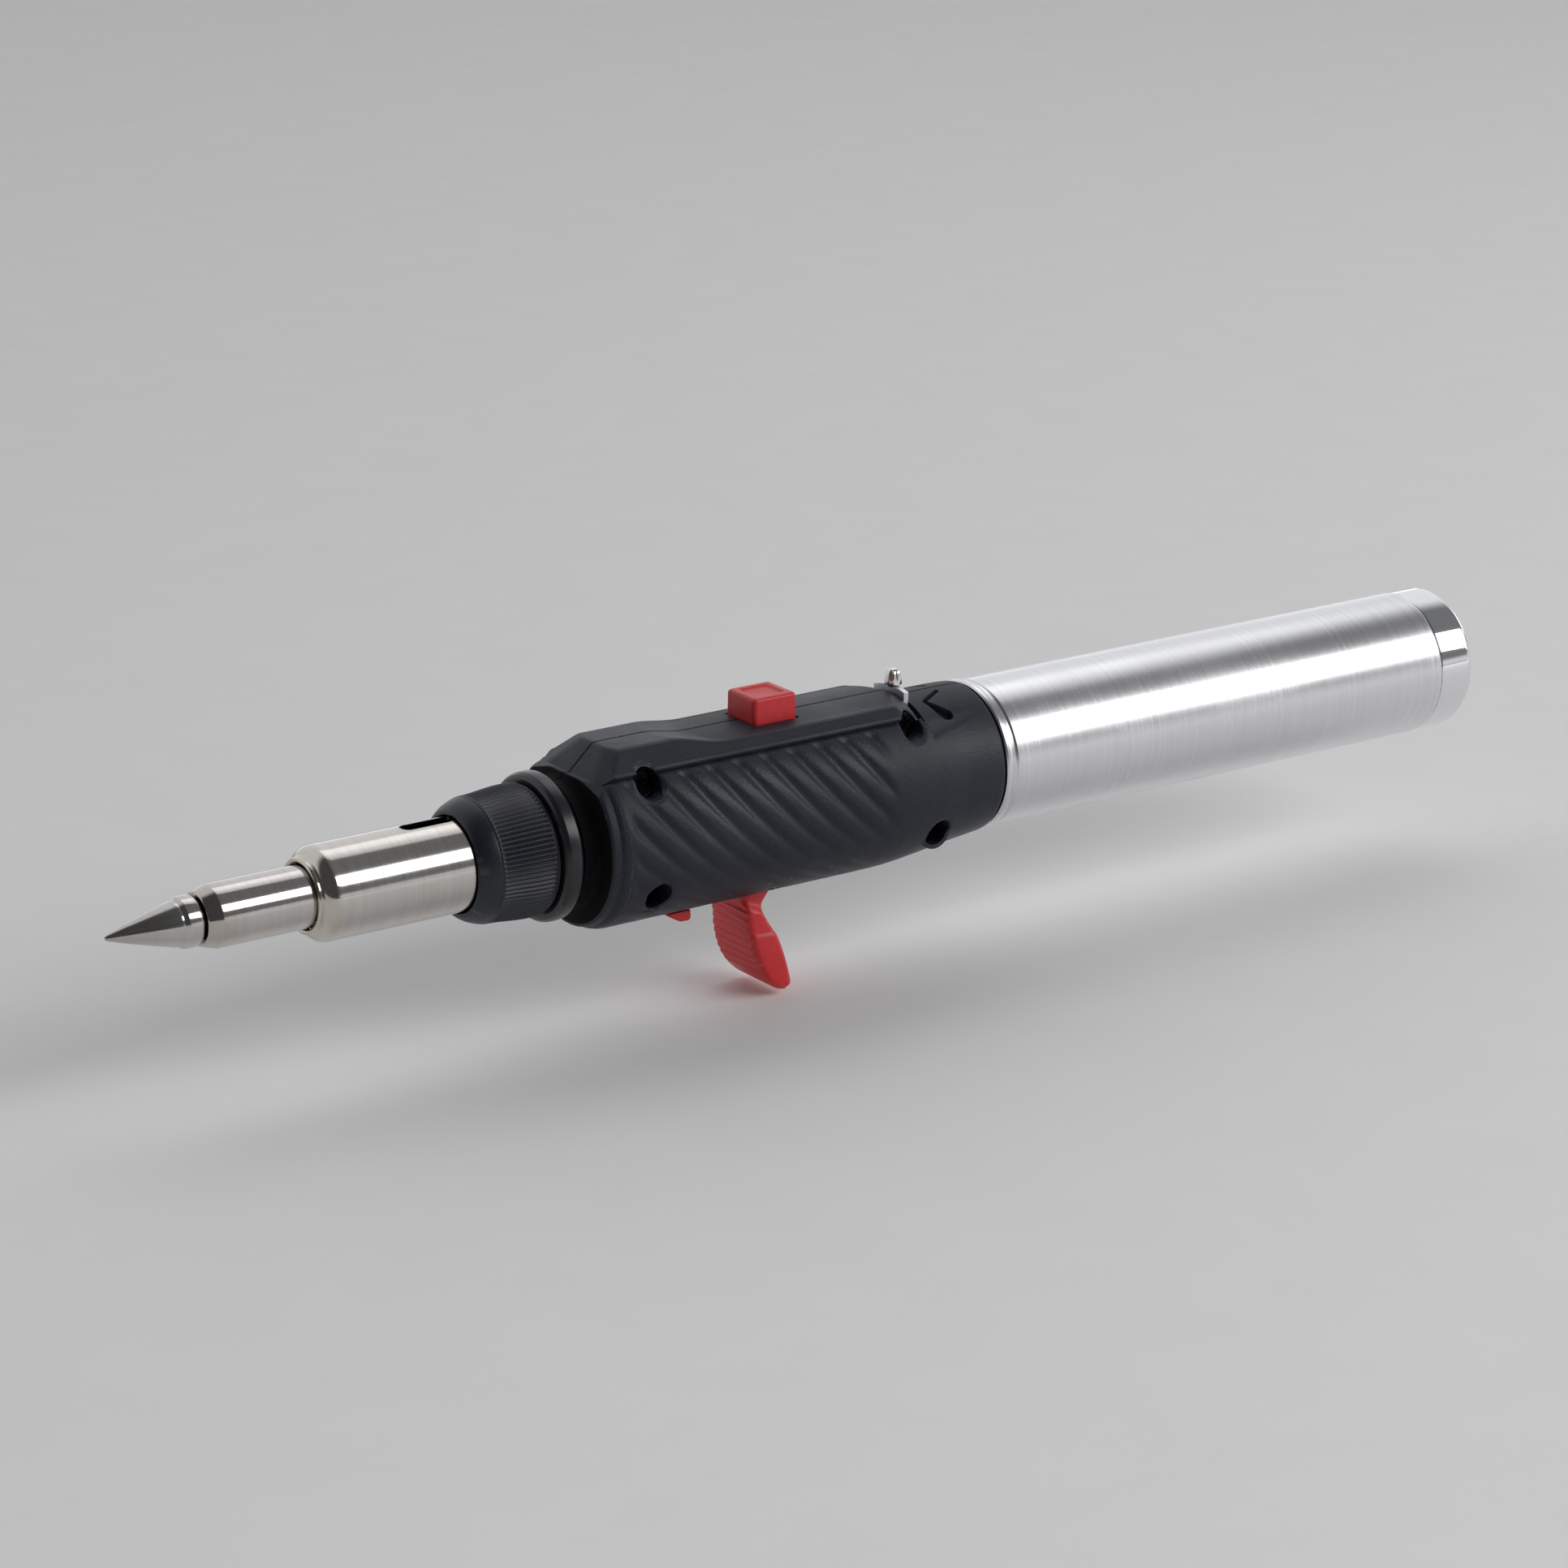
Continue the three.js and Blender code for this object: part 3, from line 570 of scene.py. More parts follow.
# %% Handle: small maths helpers
def soft_min(a, b, width):
    h = np.clip(1 - np.abs(a - b) / width, 0, 1)
    return np.minimum(a, b) - h * h * width / 4


def soft_step(value, low, high):
    t = np.clip((value - low) / (high - low), 0, 1)
    return t * t * (3 - 2 * t)


def plane_reach(a, b, c, x, across, up):
    """How far the surface through three points is from the axis, for the direction (across, up)."""
    a, b, c = (np.array(p, float) for p in (a, b, c))
    normal = np.cross(b - a, c - a)
    if normal[2] < 0:
        normal = -normal
    rest = float(np.dot(normal, a)) - normal[0] * x
    steep = normal[1] * across + normal[2] * up
    return np.where(steep > 1e-3, rest / np.maximum(steep, 1e-3), 99.0)


# %% Handle: the surface function
def flute_depth(x, angle):
    """Depth of the slanted grip flutes. They run backwards as they go down, and fade underneath."""
    down = np.maximum(angle - 44.0, -6.0)
    slant = x - (0.12 * down + 0.0014 * down * np.abs(down))
    wave = 0.5 + 0.5 * np.cos(2 * math.pi * (slant + 170.3) / FLUTE_PITCH)
    ends = soft_step(x, -172.8, -170.6) * (1 - soft_step(x, -125.6, -122.2))
    below = 1 - 0.75 * soft_step(angle, 70, 125) - 0.25 * soft_step(angle, 125, 165)
    above = soft_step(angle, FOOT_ANGLE, FOOT_ANGLE + 7.0)
    return FLUTE_DEPTH * wave**1.9 * ends * below * above


# each leg's two ends as (x, angle), and its half width at each end
TAPER_LEGS = (
    ((-110.7, 18.4), (-108.8, 35.6), 0.18, 1.1),
    ((-110.5, 18.1), (-106.6, 8.0), 0.24, 0.22),
)


def taper_mark(x, angle):
    """How deep the two-legged mark is, from 0 to 1. Each leg runs from one (x, angle) to another."""
    depth = np.zeros_like(x)
    for start, end, first, last in TAPER_LEGS:
        ax, ay = start[0], COLLAR_R * math.radians(start[1])
        bx, by = end[0] - ax, COLLAR_R * math.radians(end[1]) - ay
        px, py = x - ax, COLLAR_R * np.radians(angle) - ay
        t = np.clip((px * bx + py * by) / (bx * bx + by * by), 0, 1)
        away = np.hypot(px - t * bx, py - t * by)
        depth = np.maximum(depth, 1 - soft_step(away - (first + (last - first) * t), -0.12, 0.12))
    return depth


def handle_radius(x, angle, side):
    across, up = np.sin(np.radians(angle)), np.cos(np.radians(angle))
    facing_up = np.maximum(up, 0.05)
    barrel = np.interp(x, [p[0] for p in BARREL], [p[1] for p in BARREL])
    # barrel below the ridge, with a narrow gutter under the ridge's foot
    gutter = 0.5 * np.exp(-np.maximum(angle - FOOT_ANGLE, 0) / 3.2)
    gutter = gutter * soft_step(x, -174.6, -173.6) * (1 - soft_step(x, -121.0, -117.5))
    grip = barrel - gutter - flute_depth(x, angle)
    # ridge: flat top with a thumb scoop behind the raised pad, and sloped sides
    reach_y = 13.7 * np.tan(np.radians(np.minimum(angle, 30)))
    scoop = soft_step(x - 0.07 * reach_y**2, -161.6, -153.6)
    crown = 0.010 * (SHOULDER[1] * np.tan(np.radians(np.minimum(angle, 24)))) ** 2
    top = (SHOULDER[1] - 1.0 * scoop - crown * scoop) / facing_up
    slope = np.array([SHOULDER[1] - FOOT[1], FOOT[0] - SHOULDER[0]])
    slope = slope / np.linalg.norm(slope)
    flank = float(slope @ np.array(FOOT)) / (slope[0] * across + slope[1] * facing_up)
    ridge = soft_min(top, flank, 0.55)
    ridge = soft_min(ridge, 13.56 + (x - RIM_X) * 1.05, 0.3)
    ridge = soft_min(ridge, 13.0 + (LEVER_SLOT_X - x) * 0.5, 0.3)
    ridge = ridge + 0.16 * np.exp(-(((angle - FOOT_ANGLE + 0.9) / 0.8) ** 2))
    on_ridge = (angle <= FOOT_ANGLE) & (x > RIM_X - 0.05) & (x < COLLAR_X)
    r = np.where(on_ridge, ridge, grip)
    # sloped nose and the facet that joins it to the ridge's flank
    nose = np.maximum(SHOULDER[1] + (x + 170.4) * 0.93, NOSE_MIN_R) / facing_up
    facet = plane_reach((-169.4, 5.5, 14.7), (-171.2, 3.9, 13.9), (-172.6, 9.4, 11.3), x, across, up)
    facet = np.maximum(facet, NOSE_MIN_R)
    r = soft_min(r, np.where(angle < 60, nose, 99), 0.35)
    r = np.where((angle < 52) & (x < -160), soft_min(r, facet, 0.3), r)
    # lower collar behind the lever slot
    relief = COLLAR_R + 1.7 * soft_step(angle, 34, 64)
    relief = np.where(up > 0.3, relief, 99)
    r = np.where(x > COLLAR_X, soft_min(r, relief, 0.3), r)
    # the taper mark moulded into the collar: a thin leg and a drop-shaped leg that meet in a point
    r = r - 1.2 * taper_mark(x, angle)
    # soft lips round the screw holes, which are only in the left shell
    if side < 0:
        for hx, hz, hole in SCREWS:
            away = np.hypot(x - hx, r * up - hz)
            lip = np.clip(1 - (away - hole) / 0.45, 0, 1)
            r = r - 0.22 * lip**2 * (angle > 20)
    # a shallow groove along the seam
    from_seam = np.minimum(angle, 180 - angle) * math.pi / 180 * r
    return r - 0.16 * np.exp(-((from_seam / 0.17) ** 2))


# %% Handle: the grid
def spaced(low, high, step, *extras):
    count = int(round((high - low) / step)) + 1
    fixed = np.linspace(low, high, count)
    return np.unique(np.round(np.concatenate([fixed, *[np.atleast_1d(e) for e in extras]]), 4))


STATIONS = spaced(
    SHELL_FRONT,
    SHELL_REAR,
    0.26,
    np.linspace(-176.6, -172.4, 57),
    np.linspace(-111.2, -105.4, 49),
    [-172.01, -171.99, -113.91, -113.89, -110.41, -110.39, -107.71, -107.69, -106.31, -106.29],
    [-100.7, -100.55],
)
ANGLES = spaced(
    0.0,
    180.0,
    0.95,
    np.linspace(0.0, 3.0, 16),
    np.linspace(177.0, 180.0, 13),
    np.linspace(17, 30, 33),
    np.linspace(FOOT_ANGLE - 1.2, FOOT_ANGLE, 7),
    np.linspace(FOOT_ANGLE + 0.02, FOOT_ANGLE + 5, 16),
)
INSIDE = [
    (-180, 8.8),
    (-172.01, 8.8),
    (-171.99, 12.1),
    (-119, 12.1),
    (-115.2, 10.6),
    (-110.41, 10.4),
    (-110.39, 9.9),
    (-107.71, 9.9),
    (-107.69, 8.6),
    (-106.31, 8.6),
    (-106.29, 9.9),
    (-100, 9.9),
]
INSIDE_ANGLES = np.linspace(180, 0, 33)
print(len(STATIONS), "stations along,", len(ANGLES), "points round each shell")


def half_shell(name, side):
    x, angle = np.meshgrid(STATIONS, ANGLES, indexing="ij")
    r = handle_radius(x, angle, side)
    bore = np.interp(STATIONS, [p[0] for p in INSIDE], [p[1] for p in INSIDE])
    loops = []
    for i, station in enumerate(STATIONS):
        ring = [(r[i, k], ANGLES[k]) for k in range(len(ANGLES))]
        ring += [(bore[i], a) for a in INSIDE_ANGLES]
        rr = np.array([p[0] for p in ring])
        aa = np.radians([p[1] for p in ring])
        y = np.maximum(rr * np.sin(aa), SEAM_HALF)
        loops.append(np.stack([np.full(len(rr), station), side * y, rr * np.cos(aa)], axis=1))
    return loft(name, loops)


# %% [markdown]
# The openings are cut afterwards: windows for the button, trigger and lock slider, the slot the
# flow lever swings in, and the deep screw holes. Screw posts are added inside first, so each hole
# ends on solid plastic as it does in a real shell. The groove behind the nose ring gets a duller,
# near-black finish: this is painted shade, standing in for the deep shadow inside the groove.


# %% Handle: posts, windows and holes
POST_R, SCREW_BORE_R = 3.0, 1.4
HEAD_SEAT_Y = -5.8
PIN_X, PIN_Z = -142.0, -11.2
BUTTON_WINDOW = ((-143.5, -4.25, 9), (-134.9, 4.25, 20))
TRIGGER_WINDOW = ((-147.3, -6.0, -20), (-136.3, 6.0, -9.8))
LOCK_WINDOW = ((-159.8, -2.2, -20), (-150.7, 2.2, -10))
LEVER_SLOT = ((-114.6, -9.0, 7.0), (-113.2, 9.0, 20))
GROOVE_END_X = -175.5


def shell_cuts(side):
    steps = []
    for i, (x, z, hole) in enumerate(SCREWS):
        reach = math.sqrt(12.7**2 - z**2)
        start, end = (x, side * SEAM_HALF, z), (x, side * reach, z)
        if not (x > -118 and z > 0):
            steps.append(("UNION", rod(f"post_{i}", start, end, POST_R)))
    for i, (low, high) in enumerate((BUTTON_WINDOW, TRIGGER_WINDOW, LOCK_WINDOW, LEVER_SLOT)):
        steps.append(("DIFFERENCE", block(f"window_{i}", low, high)))
    for i, (x, z, hole) in enumerate(SCREWS):
        steps.append(("DIFFERENCE", rod(f"bore_{i}", (x, -12, z), (x, 7, z), SCREW_BORE_R)))
        steps.append(("DIFFERENCE", rod(f"head_{i}", (x, -16, z), (x, HEAD_SEAT_Y, z), hole)))
    steps.append(("DIFFERENCE", rod("pin_bore", (PIN_X, -7.9, PIN_Z), (PIN_X, 7.9, PIN_Z), 1.3)))
    return steps


for hand, side in (("left", -1), ("right", 1)):
    half = carve(half_shell(f"handle_shell_{hand}", side), *shell_cuts(side))
    place(
        half, "handle", "handle_black", "black_nylon", f"body_shell_{hand}", sharp_degrees=50,
        weighted=False,
    )
    # the shell's faces in front of GROOVE_END_X get the near-black painted shade of the groove
    half.data.materials.append(MATERIALS["groove_painted_shade"])
    for face in half.data.polygons:
        face.material_index = int(face.center.x / MM < GROOVE_END_X)

# %% [markdown]
# The case screws sit at the bottom of their holes. Only a hint of them shows, and the CAD
# pieces with their cross slots are enough, so they keep their mesh and get a blackened finish.
# The other small inner pieces that stay as they are in the CAD are finished in the same cell.

# %% CAD pieces that only need a finish
KEPT = {
    "case_screw_1": "black_steel",
    "case_screw_2": "black_steel",
    "case_screw_3": "black_steel",
    "case_screw_4": "black_steel",
    "tank_front_plug": "plain_aluminium",
    "outlet_valve_body": "turned_brass",
    "outlet_valve_stem": "turned_brass",
    "outlet_valve_seal": "seal_rubber",
    "filler_valve_seal": "seal_rubber",
    "outlet_filter": "turned_brass",
    "valve_link": "zinc_steel",
    "injector_body": "turned_brass",
    "gas_jet": "turned_brass",
    "piezo_igniter": "dark_plastic",
    "igniter_plunger": "dark_plastic",
    "electrode_insulator": "ceramic",
    "spark_electrode": "burner_steel",
    "trigger_pin": "zinc_steel",
    "nose_bush": "turned_brass",
    "burner_tube": "burner_steel",
    "flame_holder": "burner_steel",
    "ignition_wire": "wire_silicone",
    "gas_hose": "hose_silicone",
    "catalyst": "gauze_metal",
}
for name, material in KEPT.items():
    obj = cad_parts[name]
    obj.data.materials.clear()
    obj.data.materials.append(MATERIALS[material])
print(len(KEPT), "CAD pieces finished")

# %% [markdown]
# The tank is a drawn aluminium tube, brushed round its length, with a rolled bead where the handle
# grips it. Its rear cap is turned from solid, polished, and has a recess with the filler valve.

# %% Tank tube, end cap and filler valve
tank = [
    (-100.0, 11.2),
    (-100.0, 11.95),
    (-99.75, 12.15),
    (-99.3, 12.22),
    (-98.85, 12.15),
    (-98.6, 11.85),
    (-98.3, 11.7),
    (-97.95, 11.78),
    (-97.6, 11.98),
    (-97.2, 12.0),
    (-60.0, 12.0),
    (-20.0, 12.0),
    (-7.75, 12.0),
    (-7.45, 11.9),
    (-7.45, 11.2),
]
place(turned("tank_shell", tank, 0.1, 192), "handle", "brushed_aluminium", "brushed_aluminium", "tank_tube")
cap = [
    (-14.0, 9.9),
    (-14.0, 10.9),
    (-7.35, 10.9),
    (-7.35, 11.85),
    (-7.2, 11.93),
    (-1.75, 11.93),
    (-1.1, 11.78),
    (-0.5, 11.42),
    (-0.12, 10.95),
    (0.0, 10.5),
    (0.0, 7.8),
    (-0.15, 7.55),
    (-2.0, 7.3),
    (-2.2, 7.0),
    (-2.2, 2.9),
    (-2.4, 2.6),
    (-6.0, 2.6),
    (-6.0, 9.9),
]
place(turned("tank_cap", cap, 0.12, 192), "handle", "polished_cap", "polished_cap", "tank_end_cap")
valve = [
    (-16.0, 0.9),
    (-16.0, 2.3),
    (-1.9, 2.3),
    (-1.9, 3.6),
    (-1.0, 3.6),
    (-1.0, 1.3),
    (-4.0, 1.3),
    (-4.0, 1.9),
    (-14.6, 1.9),
    (-14.6, 0.9),
]
place(turned("filler_body", valve, 0.15, 64), "handle", "valve_brass", "turned_brass", "filler_valve_body")
stem = [
    (-12.8, 0), (-12.8, 0.8), (-6.0, 0.8), (-6.0, 1.55), (-5.2, 1.55), (-5.2, 0.9), (-0.4, 0.9),
    (-0.4, 0),
]
place(
    turned("filler_stem", stem, 0.12, 40), "filler_valve", "valve_brass", "turned_brass",
    "filler_valve_stem",
)

# %% [markdown]
# The front is turned metal and moulded plastic in turn: a smooth black ring, a ribbed collar nut
# that a thumb and finger can grip, the shield pipe it holds, the holder tube and the conical
# soldering tip. The nut's ribs are real geometry: the radius ripples round it, and fades out
# at both ends of the ribbed band.

# %% Nose ring and collar nut
RIBS, RIB_DEPTH = 84, 0.30
RIBBED_FROM_R = 9.0
ring = [
    (-182.4, 8.6),
    (-182.4, 10.7),
    (-182.15, 11.25),
    (-181.6, 11.58),
    (-181.0, 11.65),
    (-180.3, 11.65),
    (-179.85, 11.6),
    (-179.5, 11.35),
    (-179.4, 10.9),
    (-179.0, 8.6),
]
place(turned("flange_ring", ring, 0.2, 160), "handle", "gloss_black", "gloss_black", "nose_ring")


def ribbed(x, r, angle):
    band = soft_step(x, -192.3, -191.9) * (1 - soft_step(x, -183.75, -183.4))
    outside = r > RIBBED_FROM_R
    wave = 0.5 + 0.5 * np.cos(RIBS * angle)
    return r - np.where(outside, RIB_DEPTH * band * (1 - wave**0.8), 0)


outer = [
    (-195.7, 7.6),
    (-195.7, 7.8),
    (-195.5, 8.2),
    (-195.0, 8.7),
    (-194.2, 9.2),
    (-193.3, 9.55),
    (-192.75, 9.72),
    (-192.6, 9.66),
    (-192.4, 9.82),
]
outer += [(x, 9.86 + 0.52 * float(soft_step(x, -192.2, -185.0))) for x in np.linspace(-192.1, -183.6, 48)]
outer += [
    (-183.45, 10.36), (-183.3, 9.95), (-182.9, 9.9), (-182.75, 10.0), (-182.7, 9.95), (-182.7, 8.65),
    (-191.9, 8.65), (-191.9, 7.6),
]
nut = turned("ribbed_nut", outer, 0.04, RIBS * 10, ribbed, 2)
place(nut, "collar", "collar_black", "collar_nylon", "collar_nut", sharp_degrees=60, weighted=False)

# %% [markdown]
# The shield pipe ends in a lip that is rolled inwards round the holder tube, with a small
# bright bead on its inside, and an exhaust slot is milled in its top. The rolled lip is where
# the eye goes, so its outline has the most points.


# %% Shield pipe, holder tube and tip
def arc_points(cx, cr, radius, start, end, count):
    angles = np.radians(np.linspace(start, end, count))
    return [(cx + radius * math.cos(a), cr + radius * math.sin(a)) for a in angles]


pipe = [(-221.2, 5.1)]
pipe += arc_points(-221.35, 5.48, 0.42, 300, 60, 12)
pipe += [(-221.02, 5.98)]
pipe += arc_points(-218.6, 4.75, 2.6, 150, 90, 20)
pipe += [
    (-191.4, 7.35), (-191.4, 8.1), (-190.6, 8.1), (-190.6, 6.85), (-218.4, 6.85), (-219.8, 6.0),
    (-220.7, 5.1),
]
made = turned("shield_tube", pipe, 0.05, 160, steps=2)
slot = loft("slot", [[(x - 200.0, y, z) for x, y in rounded_rectangle(4.5, 1.3, 1.3, 8)] for z in (5, 9)])
carve(made, ("DIFFERENCE", slot))
place(made, "shield", "nickel_pipe", "nickel_pipe", "shield_pipe", sharp_degrees=50)

holder = [
    (-239.1, 2.5), (-239.1, 3.95), (-238.95, 4.1), (-237.0, 4.74), (-236.7, 4.82), (-206.0, 4.82),
    (-206.0, 4.35), (-233.0, 4.35), (-233.0, 2.5),
]
made = turned("holder_tube", holder, 0.12, 128)
carve(
    made,
    *[
        ("DIFFERENCE", rod(f"vent_{i}", (-216, 0, 0), (-216, 8 * math.sin(a), 8 * math.cos(a)), 1.0))
        for i, a in enumerate(math.pi * k / 4 for k in (1, 3, 5, 7))
    ],
)
place(made, "handle", "nickel_pipe", "nickel_holder", "tip_holder", sharp_degrees=50)

tip = [
    (-253.85, 0),
    (-253.8, 0.25),
    (-253.55, 0.42),
    (-251.0, 1.25),
    (-246.0, 2.65),
    (-243.0, 3.42),
    (-242.5, 3.46),
    (-242.25, 3.6),
    (-241.9, 3.84),
    (-241.5, 3.9),
    (-240.0, 3.9),
    (-239.65, 3.75),
    (-239.5, 3.4),
    (-239.4, 2.2),
    (-232.3, 2.2),
    (-232.3, 0),
]
place(turned("cone_tip", tip, 0.15, 128), "handle", "bright_nickel", "nickel_tip", "soldering_tip")

# %% [markdown]
# The igniter button is a rounded red block with a shallow square dish for the thumb. It is
# built as a stack of rounded rectangles: up the sides, over the rounded rim, down into the dish
# and across its floor.

# %% Igniter button
BUTTON_X, BUTTON_TOP = -139.2, 17.6
layers = [
    (4.9, 4.6, 0.4, 9.9), (4.9, 4.6, 0.4, 10.75), (4.8, 4.5, 0.4, 10.9), (4.2, 4.05, 0.75, 10.9),
    (4.15, 4.0, 0.8, 11.0),
]
layers += [(4.15 - 0.12 * t, 4.0 - 0.12 * t, 0.8, 11.0 + 5.95 * t) for t in (0.25, 0.5, 0.75, 1.0)]
for k in range(1, 9):
    a = math.radians(90 * k / 8)
    inset = 0.12 + 0.6 * (1 - math.cos(a))
    layers.append((4.15 - inset, 4.0 - inset, 0.8 - 0.35 * (k / 8), 16.98 + 0.6 * math.sin(a)))
layers += [
    (2.9, 2.75, 0.5, BUTTON_TOP), (2.75, 2.6, 0.5, BUTTON_TOP - 0.03),
    (2.57, 2.42, 0.45, BUTTON_TOP - 0.14), (2.4, 2.25, 0.4, BUTTON_TOP - 0.28),
]
layers += [
    (2.2, 2.05, 0.35, BUTTON_TOP - 0.36), (1.5, 1.3, 0.3, BUTTON_TOP - 0.42),
    (0.6, 0.4, 0.2, BUTTON_TOP - 0.44),
]
loops = []
for hx, hy, corner, z in layers:
    flat = rounded_rectangle(hx, hy, corner, 6)
    loops.append([(BUTTON_X + x, y, z) for x, y in flat])
button = loft("thumb_button", loops)
carve(button, ("DIFFERENCE", block("pocket", (BUTTON_X - 2.8, -2.4, 9), (BUTTON_X + 2.8, 2.4, 14.5))))
place(button, "button", "red_plastic", "red_plastic", "igniter_button", sharp_degrees=48)

# %% [markdown]
# The trigger is one red moulding. Its front face has cross ribs that stop a finger from slipping,
# its neck is narrower than its blade, and a ledge joins the two. Each level of the blade is a
# rounded rectangle between a point on the front curve and one on the rear curve. The ribs are a
# ripple of the front points along the blade.

# %% Trigger blade
FRONT = np.array([
    (-145.2, -11.0), (-145.5, -13.2), (-145.6, -15.2), (-145.5, -17.8), (-145.1, -20.6),
    (-144.3, -24.0), (-142.9, -27.0), (-141.0, -29.2), (-140.0, -30.0),
])
REAR = np.array([
    (-138.9, -11.0), (-140.1, -13.4), (-142.1, -16.4), (-141.5, -18.3), (-139.9, -20.9),
    (-138.8, -23.9), (-137.9, -27.2), (-137.5, -29.3), (-138.1, -30.1),
])
LEVELS = 190
RIB_PITCH = 1.42


def smooth_curve(points, count):
    """A smooth curve through the points, evenly spaced along the row of points."""
    t = np.linspace(0, len(points) - 1.000001, count)
    i = t.astype(int)
    f = (t - i)[:, None]
    padded = np.concatenate([[2 * points[0] - points[1]], points, [2 * points[-1] - points[-2]]])
    a, b, c, d = (padded[i + k] for k in range(4))
    squared, cubed = 2 * a - 5 * b + 4 * c - d, 3 * b - a - 3 * c + d
    return 0.5 * (2 * b + (c - a) * f + squared * f**2 + cubed * f**3)


front, rear = smooth_curve(FRONT, LEVELS), smooth_curve(REAR, LEVELS)
steps_along = np.linalg.norm(np.diff(front, axis=0), axis=1)
run = np.concatenate([[0], np.cumsum(steps_along)])
loops = []
for i in range(LEVELS):
    depth_axis = rear[i] - front[i]
    thick = np.linalg.norm(depth_axis)
    depth_axis = depth_axis / thick
    middle = (rear[i] + front[i]) / 2
    z = middle[1]
    ledge = soft_step(-z, 15.0, 16.9) * 1.05
    flare = ledge + soft_step(-z, 19.9, 20.8) * 0.25 + soft_step(-z, 17, 27) * 0.5
    tail = 0.6 * float(soft_step(-z, 28.6, 30.3)) ** 2
    half_width = 4.45 + float(flare) - tail
    section = rounded_rectangle(thick / 2, half_width, 1.15, 7)
    in_ribs = soft_step(run[i], 4.2, 5.2) * (1 - soft_step(run[i], 15.6, 17.6))
    ripple = 0.27 * float(in_ribs) * (math.cos(2 * math.pi * run[i] / RIB_PITCH) - 0.6)
    loop = []
    for a, y in section:
        share = soft_step(-a, thick / 2 - 1.1, thick / 2 - 0.2)
        edge = soft_step(abs(y), half_width - 1.7, half_width - 0.3)
        push = -ripple * float(share * (1 - 0.8 * edge))
        point = middle + depth_axis * (a + push)
        loop.append((point[0], y, point[1]))
    loops.append(loop)
blade = loft("finger_trigger", loops)
carve(
    blade,
    ("UNION", rod("barrel", (PIN_X, -4.8, PIN_Z), (PIN_X, 4.8, PIN_Z), 2.4, 64)),
    ("UNION", block("arm", (-142.8, -5.6, -11.2), (-141.2, -4.4, -5.6))),
    ("DIFFERENCE", block("spring_room", (-146, -1.6, -13.7), (-139.2, 1.6, -8))),
    ("DIFFERENCE", rod("pin_hole", (PIN_X, -8, PIN_Z), (PIN_X, 8, PIN_Z), 1.06)),
)
place(blade, "trigger_lever", "red_plastic", "red_plastic", "trigger", sharp_degrees=50)

# %% [markdown]
# The lock slider shows as a small red wedge under the handle. Its wedge has a stepped outline
# drawn out across the torch and rounded along its edges, and its bar runs inside the shells.


# %% Lock slider
def drawn_across(name, outline, half_width, radius):
    """An [x, z] outline drawn out along Y, with its side edges rounded."""
    outline = fillet(outline, radius, 3, closed=True)
    centre = outline.mean(axis=0)
    reach = np.linalg.norm(outline - centre, axis=1, keepdims=True)
    loops = []
    for k in range(-4, 5):
        a = math.radians(22.5 * k)
        inset = radius * (1 - math.cos(a))
        y = (half_width - radius) * np.sign(k) + radius * math.sin(a)
        shrunk = centre + (outline - centre) * (1 - inset / reach)
        loops.append([(x, y, z) for x, z in shrunk])
    return loft(name, loops)


wedge = [
    (-158.6, -14.75), (-158.45, -15.15), (-156.2, -16.45), (-154.6, -16.5), (-154.25, -16.2),
    (-154.2, -14.75),
]
slider = drawn_across("lock_wedge", wedge, 2.5, 0.3)
carve(
    slider,
    ("UNION", block("neck", (-158, -1.8, -15.2), (-155.2, 1.8, -11.2))),
    ("UNION", block("bar", (-160, -3, -11.5), (-149.6, 3, -10.5))),
)
place(slider, "lock", "red_plastic", "red_plastic", "lock_slider", sharp_degrees=40)

# %% [markdown]
# The flow lever is a pressed steel blade that turns on the outlet valve. Only its curved edge and
# the knob riveted to it show above the handle. The knob is a small nickel-plated stud with a
# ribbed side, so that a fingernail can push it.

# %% Flow lever and knob
LEVER_X, LEVER_R, HUB_R = -113.9, 14.2, 4.8
near_side, far_side = math.radians(-14.5), math.radians(19.0)
outline = [(LEVER_R * math.sin(a), LEVER_R * math.cos(a)) for a in np.linspace(far_side, near_side, 41)]
outline += [(HUB_R * math.sin(a), HUB_R * math.cos(a)) for a in np.linspace(
    math.radians(-42), math.radians(-318), 61,
)]
outline = fillet(outline, 0.8, 4, closed=True)
ins = []
for x, scale in ((-0.45, 0.992), (-0.42, 0.997), (-0.33, 1.0), (0.33, 1.0), (0.42, 0.997), (0.45, 0.992)):
    ins.append([(LEVER_X + x, y * scale, z * scale) for y, z in outline])
lever = loft("flow_blade", ins)
carve(lever, ("DIFFERENCE", rod("hub_bore", (LEVER_X - 1, 0, 0), (LEVER_X + 1, 0, 0), 3.06, 64)))
place(lever, "flow_control", "lever_steel", "lever_steel", "flow_lever", sharp_degrees=40)

knob_profile = [
    (13.95, 0.85), (14.2, 0.85), (14.28, 1.1), (14.36, 1.42), (15.3, 1.36), (16.2, 1.16),
    (16.55, 0.96), (16.78, 0.68), (16.84, 0.2),
]
loops = []
for z, r in fillet(knob_profile, 0.12, 3):
    ribbed_here = float(soft_step(z, 14.5, 14.7))
    angle = np.linspace(0, 2 * math.pi, 96, endpoint=False)
    rr = r - 0.13 * ribbed_here * (0.5 - 0.5 * np.cos(9 * angle)) * min(1, r)
    loops.append(np.stack([LEVER_X + rr * np.cos(angle), rr * np.sin(angle), np.full(96, z)], axis=1))
knob = loft("flow_stud", loops)
carve(knob, ("DIFFERENCE", block("notch", (LEVER_X - 0.5, -2, 13.0), (LEVER_X + 0.5, 2, 14.24))))
place(knob, "flow_control", "bright_nickel", "knob_nickel", "flow_knob", sharp_degrees=60)


